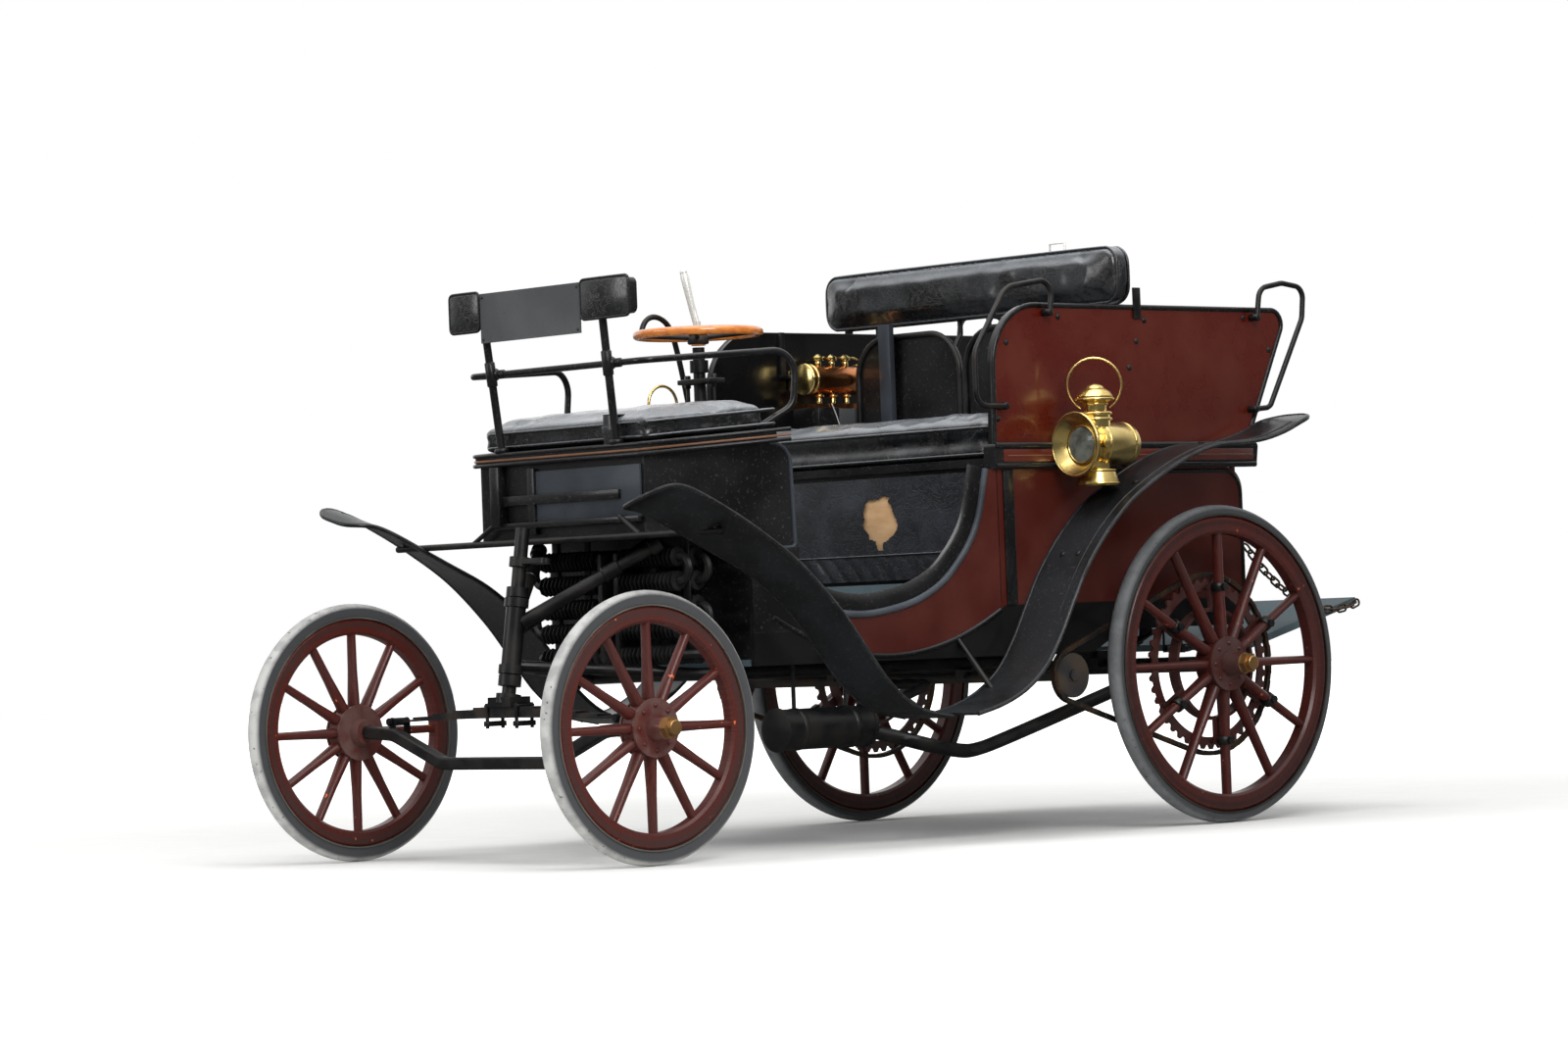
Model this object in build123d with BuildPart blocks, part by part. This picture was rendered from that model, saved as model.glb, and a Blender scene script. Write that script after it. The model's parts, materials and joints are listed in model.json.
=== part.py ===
# Veteran dogcart motor car: two benches back to back, a rear-facing front bench, centre-pivot steering.
# +X is the car's left, -Y its front, +Z up; the origin is on the ground at the middle of its length.
from build123d import *
from math import atan2, cos, degrees, hypot, pi, radians, sin, tan
import os

os.makedirs("parts", exist_ok=True)

# Running gear
WHEELBASE = 2044
FRONT_AXLE_Y = -1243
REAR_AXLE_Y = FRONT_AXLE_Y + WHEELBASE
FRONT_TYRE_R = 356
REAR_TYRE_R = 451
FRONT_HALF_TRACK = 625
REAR_HALF_TRACK = 750
OVERALL_HALF = FRONT_TYRE_R - FRONT_AXLE_Y
RAKE = 9
PIVOT = (0, -1212, 356)
POST_R = 19
RUNNING_FIT = 0.1

# Body shell
BODY_HALF = 600
NOSE_HALF = 345
NOSE_Y = -987
TOE_Y = -680
CUT_FRONT_Y = -600
CUT_REAR_Y = 80
REAR_Y = 1080
PANEL = 22
FLOOR_Z = 500
FLOOR_T = 18
SILL_TOP_Z = 589
CUT_R = 70
BEAM_LOW_Z = 1017
BEAM_TOP_Z = 1087
SIDE_TOP_Z = 1468
REAR_FLOOR_Z = 630
RISER_Y = 430
SKIRT_Z = 560
NOSE_LOW_Z = 870
NOSE_TOP_Z = 1075
SEAT_RISE = 4.4

TAPER = atan2(BODY_HALF - NOSE_HALF, CUT_REAR_Y - NOSE_Y)


def half_width(y):
    """Outer half width of the body at y."""
    return min(BODY_HALF, NOSE_HALF + (y - NOSE_Y) * tan(TAPER))


def along(y):
    """Distance of y along the tapered side, measured from its nose."""
    return (y - NOSE_Y) / cos(TAPER)


def seat_z(y):
    """Top of the front bench's sides at y: it rises towards the driver."""
    return NOSE_TOP_Z + (y - NOSE_Y) * tan(radians(SEAT_RISE))


# Planes that the pieces are drawn on
taper_side = Plane(
    origin=(NOSE_HALF, NOSE_Y, 0),
    x_dir=(sin(TAPER), cos(TAPER), 0),
    z_dir=(cos(TAPER), -sin(TAPER), 0),
)
flat_side = Plane(origin=(BODY_HALF, 0, 0), x_dir=(0, 1, 0), z_dir=(1, 0, 0))


def side_view(x):
    """Plane across the car at x, drawn as (y, z)."""
    return Plane(origin=(x, 0, 0), x_dir=(0, 1, 0), z_dir=(1, 0, 0))


def front_view(y):
    """Plane along the car at y, drawn as (x, z), facing the front."""
    return Plane(origin=(0, y, 0), x_dir=(1, 0, 0), z_dir=(0, -1, 0))


def tube(points, radius, bends=None):
    """Sweep a round bar along straight runs that bends join."""
    with BuildPart() as bar:
        with BuildLine() as path:
            if bends is None:
                Polyline(*points)
            else:
                FilletPolyline(*points, radius=bends)
        with BuildSketch(Plane(origin=path.line @ 0, z_dir=path.line % 0)):
            Circle(radius)
        sweep(path=path.line)
    return bar.part


def rod(start, end, radius):
    """A straight round bar between two points."""
    line = Vector(*end) - Vector(*start)
    with BuildPart() as bar:
        with BuildSketch(Plane(origin=start, z_dir=line)):
            Circle(radius)
        extrude(amount=line.length)
    return bar.part


# Wheels: each row gives one size for the front pair and one for the rear pair
# name, tyre radius, half track, axle y, tyre width, rim radius, felloe depth, hub reach, spoke root
WHEEL_SIZES = (
    ("front", FRONT_TYRE_R, FRONT_HALF_TRACK, FRONT_AXLE_Y, 48, 319, 44, 108, 44),
    ("rear", REAR_TYRE_R, REAR_HALF_TRACK, REAR_AXLE_Y, 54, 424, 50, 125, 48),
)
SPOKES = 12
BAND_T = 4
NAVE_R = 74
BARREL_R = 42
BORE_R = 17.5
SPINDLE_R = BORE_R - RUNNING_FIT
FLANGE_T = 6
SPROCKET_TEETH = 44
SPROCKET_TIP_R = 243
SPROCKET_ROOT_R = 231
SPROCKET_BORE_R = 208
SPROCKET_T = 7
SPROCKET_X = -58
DRUM_R = 150

axle_section = Plane(origin=(0, 0, 0), x_dir=(1, 0, 0), z_dir=(0, -1, 0))
wheel_face = Plane(origin=(0, 0, 0), x_dir=(0, 1, 0), z_dir=(1, 0, 0))

for name, tyre_r, half_track, axle_y, tyre_w, rim_r, felloe, hub_reach, root_w in WHEEL_SIZES:
    felloe_r = rim_r - BAND_T
    felloe_in = felloe_r - felloe
    nave_w = root_w + 2

    # Solid rubber tyre with a round crown and flat walls
    with BuildPart() as tyre:
        with BuildSketch(axle_section):
            with BuildLine():
                Line((-tyre_w / 2 + 4, rim_r), (tyre_w / 2 - 4, rim_r))
                Line((tyre_w / 2 - 4, rim_r), (tyre_w / 2, tyre_r - 13))
                ThreePointArc((tyre_w / 2, tyre_r - 13), (0, tyre_r), (-tyre_w / 2, tyre_r - 13))
                Line((-tyre_w / 2, tyre_r - 13), (-tyre_w / 2 + 4, rim_r))
            make_face()
        revolve(axis=Axis.X)

    # One oval spoke, tapering from the nave to the felloe
    with BuildPart() as spoke:
        with BuildSketch(Plane.XY.offset(NAVE_R - 8)):
            Ellipse(root_w / 2, 15)
        with BuildSketch(Plane.XY.offset((NAVE_R + felloe_in) / 2)):
            Ellipse(root_w / 2 - 7, 12)
        with BuildSketch(Plane.XY.offset(felloe_in + 6)):
            Ellipse(root_w / 2 - 8, 11)
        loft(ruled=True)

    # Wooden wheel: nave, twelve spokes and the bent felloe
    with BuildPart() as wood:
        with BuildSketch(wheel_face.offset(-nave_w / 2)):
            Circle(NAVE_R)
            Circle(BARREL_R + RUNNING_FIT, mode=Mode.SUBTRACT)
        extrude(amount=nave_w)
        for turn in range(SPOKES):
            add(spoke.part.rotate(Axis.X, turn * 360 / SPOKES))
        with BuildSketch(axle_section):
            with Locations((0, felloe_r - felloe / 2)):
                Rectangle(tyre_w - 6, felloe)
            chamfer(vertices().group_by(Axis.Z)[0], 7)
        revolve(axis=Axis.X)

    # Steel band round the felloe, hub barrel, two flange discs, sleeve and cap nut
    with BuildPart() as metal:
        with BuildSketch(wheel_face.offset(-tyre_w / 2 + 1)):
            Circle(rim_r)
            Circle(felloe_r, mode=Mode.SUBTRACT)
        extrude(amount=tyre_w - 2)
        with BuildSketch(axle_section):
            with BuildLine():
                Polyline(
                    (-nave_w / 2 - 34, 0),
                    (-nave_w / 2 - 34, 34),
                    (-nave_w / 2 - FLANGE_T, 38),
                    (-nave_w / 2 - FLANGE_T, NAVE_R + 3),
                    (-nave_w / 2, NAVE_R + 3),
                    (-nave_w / 2, BARREL_R),
                    (nave_w / 2, BARREL_R),
                    (nave_w / 2, NAVE_R + 3),
                    (nave_w / 2 + FLANGE_T, NAVE_R + 3),
                    (nave_w / 2 + FLANGE_T, 36),
                    (hub_reach - 34, 30),
                    (hub_reach - 34, 0),
                    close=True,
                )
            make_face()
        revolve(axis=Axis.X)
        with BuildSketch(wheel_face.offset(hub_reach - 34)):
            RegularPolygon(30, 6)
        extrude(amount=20)
        with BuildSketch(wheel_face.offset(hub_reach - 14)):
            Circle(21)
        extrude(amount=14)
        fillet(edges().group_by(Axis.X)[-1], 5)
        with BuildSketch(wheel_face.offset(-nave_w / 2 - 35)):
            Circle(BORE_R)
        extrude(amount=nave_w + 60, mode=Mode.SUBTRACT)
        if name == "rear":
            tooth_turn = 2 * pi / SPROCKET_TEETH
            outline = []
            for tooth in range(SPROCKET_TEETH):
                for share, radius in ((-0.36, SPROCKET_ROOT_R), (-0.14, SPROCKET_TIP_R),
                                      (0.14, SPROCKET_TIP_R), (0.36, SPROCKET_ROOT_R)):
                    angle = (tooth + share) * tooth_turn
                    outline.append((radius * cos(angle), radius * sin(angle)))
            with BuildSketch(wheel_face.offset(SPROCKET_X)):
                Polygon(*outline, align=None)
                Circle(SPROCKET_BORE_R, mode=Mode.SUBTRACT)
            extrude(amount=SPROCKET_T)
            with BuildSketch(wheel_face.offset(SPROCKET_X)):
                Circle(DRUM_R + 10)
                Circle(DRUM_R, mode=Mode.SUBTRACT)
            extrude(amount=-SPROCKET_X - root_w / 2)
            for turn in range(0, SPOKES, 2):
                angle = turn * 360 / SPOKES
                with BuildPart(mode=Mode.PRIVATE) as clip:
                    with BuildSketch(Plane.XY.offset(DRUM_R + 5)):
                        with Locations((-root_w / 2 + 2, 0)):
                            Rectangle(10, 30, align=(Align.MAX, Align.CENTER))
                    extrude(amount=SPROCKET_ROOT_R - DRUM_R - 9)
                    with BuildSketch(wheel_face.offset(SPROCKET_X + SPROCKET_T)):
                        with Locations((0, SPROCKET_BORE_R + 10)):
                            Circle(9)
                    extrude(amount=-SPROCKET_X - SPROCKET_T - root_w / 2 - 4)
                add(clip.part.rotate(Axis.X, angle))

    for side, sign in (("left", 1), ("right", -1)):
        place = Location((sign * half_track, axle_y, tyre_r))
        flip = Location((0, 0, 0), (0, 0, 0 if sign > 0 else 180))
        for piece, label in ((tyre, "tyre"), (wood, "wheel"), (metal, "hub")):
            placed = piece.part.moved(place * flip)
            placed.label = f"{name}_{label}_{side}"
            export_step(placed, f"parts/{name}_{label}_{side}.step")

# Steering body: king post, transverse spring and drop axle
post_plane = Plane(origin=PIVOT, x_dir=(1, 0, 0), z_dir=(0, sin(radians(RAKE)), cos(radians(RAKE))))
HEAD_LOW = 150
HEAD_HIGH = 355
POST_LOW = 70
POST_TOP = 545
SPRING_Y = -1197
SPRING_W = 45
LEAF_T = 6
SPRING_LOW_Z = 388
SPRING_HALF = 480
SPRING_SAG = 8
SHACKLE_PIN_Z = 345
AXLE_BEAM = 34
AXLE_DROP_Z = 268

with BuildPart() as king_post:
    with BuildSketch(post_plane.offset(POST_LOW)):
        Circle(POST_R)
    extrude(amount=POST_TOP - POST_LOW)
    # low, high, radius of each collar
    for low, high, radius in ((POST_LOW, POST_LOW + 26, 34), (118, 147, 31), (358, 384, 30), (440, 466, 29)):
        with BuildSketch(post_plane.offset(low)):
            Circle(radius)
        extrude(amount=high - low)
    with BuildSketch(front_view(SPRING_Y)):
        with Locations((0, SPRING_LOW_Z + 5 * LEAF_T)):
            Rectangle(96, 26, align=(Align.CENTER, Align.MIN))
    extrude(amount=35, both=True)
    with BuildSketch(post_plane.offset(446)):
        with Locations((62, 0)):
            SlotOverall(120, 30)
    extrude(amount=14)
king_post.part.label = "king_post"
export_step(king_post.part, "parts/king_post.step")

# Leaf spring: the long leaf lies lowest and carries the shackle eyes
with BuildPart() as front_spring:
    for leaf in range(5):
        half = SPRING_HALF - leaf * 88
        low = SPRING_LOW_Z + leaf * LEAF_T
        sag = SPRING_SAG * (half / SPRING_HALF) ** 2
        with BuildSketch(front_view(SPRING_Y)):
            with BuildLine():
                ThreePointArc((-half, low - sag), (0, low), (half, low - sag))
                Line((half, low - sag), (half, low - sag + LEAF_T))
                ThreePointArc((half, low - sag + LEAF_T), (0, low + LEAF_T), (-half, low - sag + LEAF_T))
                Line((-half, low - sag + LEAF_T), (-half, low - sag))
            make_face()
        extrude(amount=SPRING_W / 2, both=True)
    for sign in (-1, 1):
        with BuildSketch(front_view(SPRING_Y)):
            with Locations((sign * SPRING_HALF, SPRING_LOW_Z - SPRING_SAG + 3)):
                Circle(11)
        extrude(amount=SPRING_W / 2, both=True)
        for cheek in (-SPRING_W / 2 - 5, SPRING_W / 2):
            with BuildSketch(front_view(SPRING_Y - cheek - 5)):
                with Locations((sign * SPRING_HALF, (SPRING_LOW_Z - SPRING_SAG + 3 + SHACKLE_PIN_Z) / 2)):
                    SlotOverall(62, 24, rotation=90)
            extrude(amount=-5)
front_spring.part.label = "front_spring"
export_step(front_spring.part, "parts/front_spring.step")

# Forged drop axle with a turned spindle in each hub
AXLE_RISE_X = 440
with BuildPart() as front_axle:
    with BuildLine() as beam_path:
        FilletPolyline(
            (-FRONT_HALF_TRACK + 62, FRONT_AXLE_Y, FRONT_TYRE_R),
            (-AXLE_RISE_X, FRONT_AXLE_Y, FRONT_TYRE_R - 8),
            (-AXLE_RISE_X + 210, FRONT_AXLE_Y, AXLE_DROP_Z),
            (AXLE_RISE_X - 210, FRONT_AXLE_Y, AXLE_DROP_Z),
            (AXLE_RISE_X, FRONT_AXLE_Y, FRONT_TYRE_R - 8),
            (FRONT_HALF_TRACK - 62, FRONT_AXLE_Y, FRONT_TYRE_R),
            radius=110,
        )
    with BuildSketch(Plane(origin=beam_path.line @ 0, x_dir=(0, 1, 0), z_dir=beam_path.line % 0)):
        RectangleRounded(AXLE_BEAM, AXLE_BEAM, 6)
    sweep(path=beam_path.line)
    for sign in (-1, 1):
        with BuildSketch(Plane.YZ.offset(sign * (FRONT_HALF_TRACK - 64))):
            with Locations((FRONT_AXLE_Y, FRONT_TYRE_R)):
                Circle(SPINDLE_R)
        extrude(amount=sign * 84)
    for sign in (-1, 1):
        with BuildSketch(front_view(SPRING_Y + SPRING_W / 2)):
            with Locations((sign * SPRING_HALF, SHACKLE_PIN_Z)):
                Circle(7)
        extrude(amount=SPRING_W + 18)
front_axle.part.label = "front_axle"
export_step(front_axle.part, "parts/front_axle.step")

# Frame: head tube with its braces, two side tubes that rise over the rear axle, and cross tubes
RAIL_X = 270
RAIL_R = 19
RAIL_Z = FLOOR_Z - RAIL_R
RAIL_HIGH_Z = REAR_FLOOR_Z - RAIL_R

with BuildPart() as chassis_frame:
    with BuildSketch(post_plane.offset(HEAD_LOW)):
        Circle(27)
    extrude(amount=HEAD_HIGH - HEAD_LOW)
    for low in (HEAD_LOW, HEAD_HIGH - 24):
        with BuildSketch(post_plane.offset(low)):
            Circle(33)
        extrude(amount=24)
    add(rod((0, -1150, 620), (0, -690, 846), 14))
    for sign in (-1, 1):
        add(rod((sign * 6, -1165, 525), (sign * RAIL_X, TOE_Y, RAIL_Z), 15))
        add(tube(
            [
                (sign * RAIL_X, TOE_Y, RAIL_Z),
                (sign * RAIL_X, 470, RAIL_Z),
                (sign * RAIL_X, 590, RAIL_HIGH_Z),
                (sign * RAIL_X, REAR_Y - 40, RAIL_HIGH_Z),
            ],
            RAIL_R,
            bends=70,
        ))
    for cross_y, cross_z in ((TOE_Y, RAIL_Z), (-60, RAIL_Z), (REAR_Y - 40, RAIL_HIGH_Z)):
        add(rod((-RAIL_X, cross_y, cross_z), (RAIL_X, cross_y, cross_z), 16))
    # Upright that takes the brace below the front bench
    with BuildSketch(front_view(-690)):
        with Locations((0, RAIL_Z)):
            Rectangle(44, NOSE_LOW_Z - RAIL_Z, align=(Align.CENTER, Align.MIN))
    extrude(amount=-8)
    with BuildSketch(post_plane.offset(HEAD_LOW - 5)):
        Circle(POST_R + RUNNING_FIT)
    extrude(amount=HEAD_HIGH - HEAD_LOW + 10, mode=Mode.SUBTRACT)
chassis_frame.part.label = "chassis_frame"
export_step(chassis_frame.part, "parts/chassis_frame.step")

# Floor boards, the raised rear floor and the sloping heel board in front of the driver's bench
with BuildPart() as body_floor:
    with BuildSketch(Plane.XY.offset(FLOOR_Z)):
        with BuildLine():
            Polyline(
                (half_width(TOE_Y) - PANEL - 6, TOE_Y),
                (BODY_HALF - PANEL - 6, CUT_REAR_Y + 20),
                (BODY_HALF - PANEL - 6, RISER_Y),
                (-BODY_HALF + PANEL + 6, RISER_Y),
                (-BODY_HALF + PANEL + 6, CUT_REAR_Y + 20),
                (-half_width(TOE_Y) + PANEL + 6, TOE_Y),
                close=True,
            )
        make_face()
    extrude(amount=FLOOR_T)
    with BuildSketch(side_view(0)):
        with BuildLine():
            Polyline((RISER_Y, FLOOR_Z), (RISER_Y, REAR_FLOOR_Z + FLOOR_T), (REAR_Y - 18, REAR_FLOOR_Z + FLOOR_T),
                     (REAR_Y - 18, REAR_FLOOR_Z), (RISER_Y + 18, REAR_FLOOR_Z), (RISER_Y + 18, FLOOR_Z), close=True)
        make_face()
    extrude(amount=BODY_HALF - PANEL - 1, both=True)
    with BuildSketch(side_view(0)):
        with BuildLine():
            Polyline((98, FLOOR_Z + FLOOR_T), (98, 712), (82, 712), (-70, FLOOR_Z + FLOOR_T), close=True)
        make_face()
    extrude(amount=500, both=True)
body_floor.part.label = "body_floor"
export_step(body_floor.part, "parts/body_floor.step")

# Front bench: sloping seat board on two tapered sides, a valance and the toe board behind the radiator
seat_plane = Plane(
    origin=(0, NOSE_Y, NOSE_TOP_Z),
    x_dir=(1, 0, 0),
    z_dir=(0, -sin(radians(SEAT_RISE)), cos(radians(SEAT_RISE))),
)
SEAT_RAIL = 34
SEAT_LIP = 14
with BuildPart() as front_seat_box:
    with BuildSketch(taper_side):
        with BuildLine():
            Polyline(
                (0, seat_z(NOSE_Y)),
                (0, NOSE_LOW_Z),
                (along(TOE_Y), NOSE_LOW_Z),
                (along(TOE_Y), SILL_TOP_Z),
                (along(CUT_FRONT_Y) + CUT_R, SILL_TOP_Z),
            )
            RadiusArc(
                (along(CUT_FRONT_Y) + CUT_R, SILL_TOP_Z), (along(CUT_FRONT_Y), SILL_TOP_Z + CUT_R), CUT_R
            )
            Polyline(
                (along(CUT_FRONT_Y), SILL_TOP_Z + CUT_R),
                (along(CUT_FRONT_Y), seat_z(CUT_FRONT_Y)),
                (0, seat_z(NOSE_Y)),
            )
        make_face()
    extrude(amount=-PANEL)
    mirror(about=Plane.YZ)
    with BuildSketch(seat_plane):
        with BuildLine():
            length = (CUT_FRONT_Y - NOSE_Y) / cos(radians(SEAT_RISE))
            Polyline(
                (NOSE_HALF + SEAT_LIP, -SEAT_LIP),
                (half_width(CUT_FRONT_Y) + SEAT_LIP, length),
                (-half_width(CUT_FRONT_Y) - SEAT_LIP, length),
                (-NOSE_HALF - SEAT_LIP, -SEAT_LIP),
                close=True,
            )
        make_face()
        fillet(vertices().group_by(Axis.Y)[0], 24)
    extrude(amount=SEAT_RAIL)
    with BuildSketch(front_view(NOSE_Y + 1)):
        with Locations((0, NOSE_LOW_Z)):
            Rectangle(2 * (NOSE_HALF - 6), NOSE_TOP_Z - NOSE_LOW_Z + 1, align=(Align.CENTER, Align.MIN))
    extrude(amount=-18)
    with BuildSketch(front_view(TOE_Y + 10)):
        with Locations((0, FLOOR_Z + FLOOR_T)):
            Rectangle(2 * (half_width(TOE_Y) - PANEL - 2), NOSE_TOP_Z - FLOOR_Z, align=(Align.CENTER, Align.MIN))
        with Locations((0, SILL_TOP_Z)):
            Rectangle(2 * (half_width(TOE_Y) - 16), NOSE_TOP_Z - SILL_TOP_Z, align=(Align.CENTER, Align.MIN))
    extrude(amount=-16)
front_seat_box.part.label = "front_seat_box"
export_step(front_seat_box.part, "parts/front_seat_box.step")

# Body sides: sill below the entrance and the quarter behind it
with BuildPart() as body_side:
    with BuildSketch(taper_side):
        with BuildLine():
            Polyline(
                (along(CUT_REAR_Y), SILL_TOP_Z + CUT_R),
                (along(CUT_REAR_Y), FLOOR_Z),
                (along(TOE_Y), FLOOR_Z),
                (along(TOE_Y), SILL_TOP_Z),
                (along(CUT_REAR_Y) - CUT_R, SILL_TOP_Z),
            )
            RadiusArc(
                (along(CUT_REAR_Y) - CUT_R, SILL_TOP_Z),
                (along(CUT_REAR_Y), SILL_TOP_Z + CUT_R),
                -CUT_R,
            )
        make_face()
    extrude(amount=-PANEL)
    with BuildSketch(flat_side):
        with BuildLine():
            Polyline(
                (REAR_Y - 70, BEAM_LOW_Z),
                (CUT_REAR_Y, BEAM_LOW_Z),
                (CUT_REAR_Y, FLOOR_Z),
                (440, FLOOR_Z),
                (560, SKIRT_Z),
                (REAR_Y - 16, SKIRT_Z),
                (REAR_Y, BEAM_LOW_Z - 70),
            )
            RadiusArc((REAR_Y, BEAM_LOW_Z - 70), (REAR_Y - 70, BEAM_LOW_Z), -70)
        make_face()
    extrude(amount=-PANEL)
for side, sign in (("left", 1), ("right", -1)):
    shape = body_side.part if sign > 0 else body_side.part.mirror(Plane.YZ)
    shape.label = f"body_side_{side}"
    export_step(shape, f"parts/body_side_{side}.step")

# Rear panel between the sides, behind the tailboard when it is up
with BuildPart() as rear_panel:
    with BuildSketch(front_view(REAR_Y - 18)):
        with Locations((0, SKIRT_Z)):
            Rectangle(2 * (BODY_HALF - PANEL - 1), BEAM_LOW_Z - SKIRT_Z, align=(Align.CENTER, Align.MIN))
    extrude(amount=-16)
rear_panel.part.label = "rear_panel"
export_step(rear_panel.part, "parts/rear_panel.step")

# Seat frame: side beams, seat boards, front riser and the two arched backs
BEAM_FRONT_Y = 62
BEAM_REAR_Y = 1142
BACK_Y = 555
ARCH_IN = 12
ARCH_OUT = 444
ARCH_TOP_Z = 1448
ARCH_R = 120
with BuildPart() as seat_frame:
    for sign in (-1, 1):
        with BuildSketch(side_view(sign * (BODY_HALF - 30))):
            with BuildLine():
                Polyline((BEAM_FRONT_Y, BEAM_LOW_Z), (BEAM_REAR_Y - 10, BEAM_LOW_Z), (BEAM_REAR_Y, BEAM_TOP_Z),
                         (BEAM_FRONT_Y, BEAM_TOP_Z), close=True)
            make_face()
            fillet(vertices().group_by(Axis.Y)[-1], 12)
        extrude(amount=sign * 44)
    with BuildSketch(Plane.XY.offset(BEAM_LOW_Z + 10)):
        with Locations((0, (CUT_REAR_Y + 10 + REAR_Y + 40) / 2)):
            Rectangle(2 * (BODY_HALF - 28), REAR_Y + 40 - CUT_REAR_Y - 10)
    extrude(amount=22)
    with BuildSketch(front_view(CUT_REAR_Y + 24)):
        with Locations((0, FLOOR_Z + FLOOR_T)):
            Rectangle(2 * (BODY_HALF - PANEL - 8), BEAM_LOW_Z + 12 - FLOOR_Z - FLOOR_T, align=(Align.CENTER, Align.MIN))
    extrude(amount=-16)
    with BuildSketch(front_view(BACK_Y)):
        for sign in (-1, 1):
            with BuildLine():
                Polyline(
                    (sign * ARCH_IN, ARCH_TOP_Z - ARCH_R),
                    (sign * ARCH_IN, BEAM_LOW_Z + 20),
                    (sign * ARCH_OUT, BEAM_LOW_Z + 20),
                    (sign * ARCH_OUT, ARCH_TOP_Z - ARCH_R),
                )
                RadiusArc(
                    (sign * ARCH_OUT, ARCH_TOP_Z - ARCH_R), (sign * (ARCH_OUT - ARCH_R), ARCH_TOP_Z), -sign * ARCH_R
                )
                Line((sign * (ARCH_OUT - ARCH_R), ARCH_TOP_Z), (sign * (ARCH_IN + ARCH_R), ARCH_TOP_Z))
                RadiusArc(
                    (sign * (ARCH_IN + ARCH_R), ARCH_TOP_Z), (sign * ARCH_IN, ARCH_TOP_Z - ARCH_R), -sign * ARCH_R
                )
            make_face()
    extrude(amount=-16)
seat_frame.part.label = "seat_frame"
export_step(seat_frame.part, "parts/seat_frame.step")

# Upper side panels with a swept front corner and a raked rear edge
PANEL_REAR_TOP_Y = 1273
PANEL_REAR_LOW_Y = 1112
with BuildPart() as seat_side:
    with BuildSketch(flat_side.offset(-4)):
        with BuildLine():
            Polyline(
                (186 + 130, SIDE_TOP_Z),
                (PANEL_REAR_TOP_Y, SIDE_TOP_Z),
                (PANEL_REAR_LOW_Y, BEAM_TOP_Z),
                (CUT_REAR_Y - 6, BEAM_TOP_Z),
                (CUT_REAR_Y + 70, SIDE_TOP_Z - 150),
            )
            RadiusArc((CUT_REAR_Y + 70, SIDE_TOP_Z - 150), (186 + 130, SIDE_TOP_Z), 175)
        make_face()
        fillet(vertices().group_by(Axis.Y)[-1], 40)
    extrude(amount=-18)
for side, sign in (("left", 1), ("right", -1)):
    shape = seat_side.part if sign > 0 else seat_side.part.mirror(Plane.YZ)
    shape.label = f"seat_side_{side}"
    export_step(shape, f"parts/seat_side_{side}.step")

# Cushions and the shared padded back rest: crowned blocks with round edges
with BuildPart() as front_cushion:
    with BuildSketch(seat_plane.offset(SEAT_RAIL + 0.3)):
        with BuildLine():
            Polyline(
                (NOSE_HALF - 2, 12),
                (half_width(CUT_FRONT_Y) - 4, length - 6),
                (-half_width(CUT_FRONT_Y) + 4, length - 6),
                (-NOSE_HALF + 2, 12),
                close=True,
            )
        make_face()
        fillet(vertices(), 22)
    extrude(amount=70)
    fillet(faces().sort_by(Axis.Z)[-1].edges(), 18)
front_cushion.part.label = "front_cushion"
export_step(front_cushion.part, "parts/front_cushion.step")

SEAT_BOARD_Z = BEAM_LOW_Z + 32
CUSHION_HALF = BODY_HALF - PANEL - 4 - 3 - 6
# name, front y, rear y, thickness
for name, low_y, high_y, thick in (("driver_cushion", 88, 548, 112), ("rear_cushion", 596, 1112, 112)):
    with BuildPart() as cushion:
        with BuildSketch(Plane.XY.offset(SEAT_BOARD_Z + 0.3)):
            with Locations((0, (low_y + high_y) / 2)):
                RectangleRounded(2 * CUSHION_HALF, high_y - low_y, 30)
        extrude(amount=thick)
        fillet(faces().sort_by(Axis.Z)[-1].edges(), 24)
    cushion.part.label = name
    export_step(cushion.part, f"parts/{name}.step")

PAD_Y = 609
PAD_HALF = 612
PAD_LOW_Z = 1482
PAD_TOP_Z = 1653
with BuildPart() as back_pad:
    with BuildSketch(front_view(PAD_Y)):
        with Locations((0, (PAD_LOW_Z + PAD_TOP_Z) / 2)):
            RectangleRounded(2 * PAD_HALF, PAD_TOP_Z - PAD_LOW_Z, 50)
    extrude(amount=34, both=True)
    fillet(edges().group_by(Axis.Y)[0], 20)
    fillet(edges().group_by(Axis.Y)[-1], 20)
back_pad.part.label = "back_pad"
export_step(back_pad.part, "parts/back_pad.step")

# Leather apron hung from the driver's bench
with BuildPart() as leather_apron:
    with BuildSketch(front_view(CUT_REAR_Y + 23)):
        with Locations((0, 720)):
            Rectangle(1040, 296, align=(Align.CENTER, Align.MIN))
    extrude(amount=9)
leather_apron.part.label = "leather_apron"
export_step(leather_apron.part, "parts/leather_apron.step")

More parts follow.
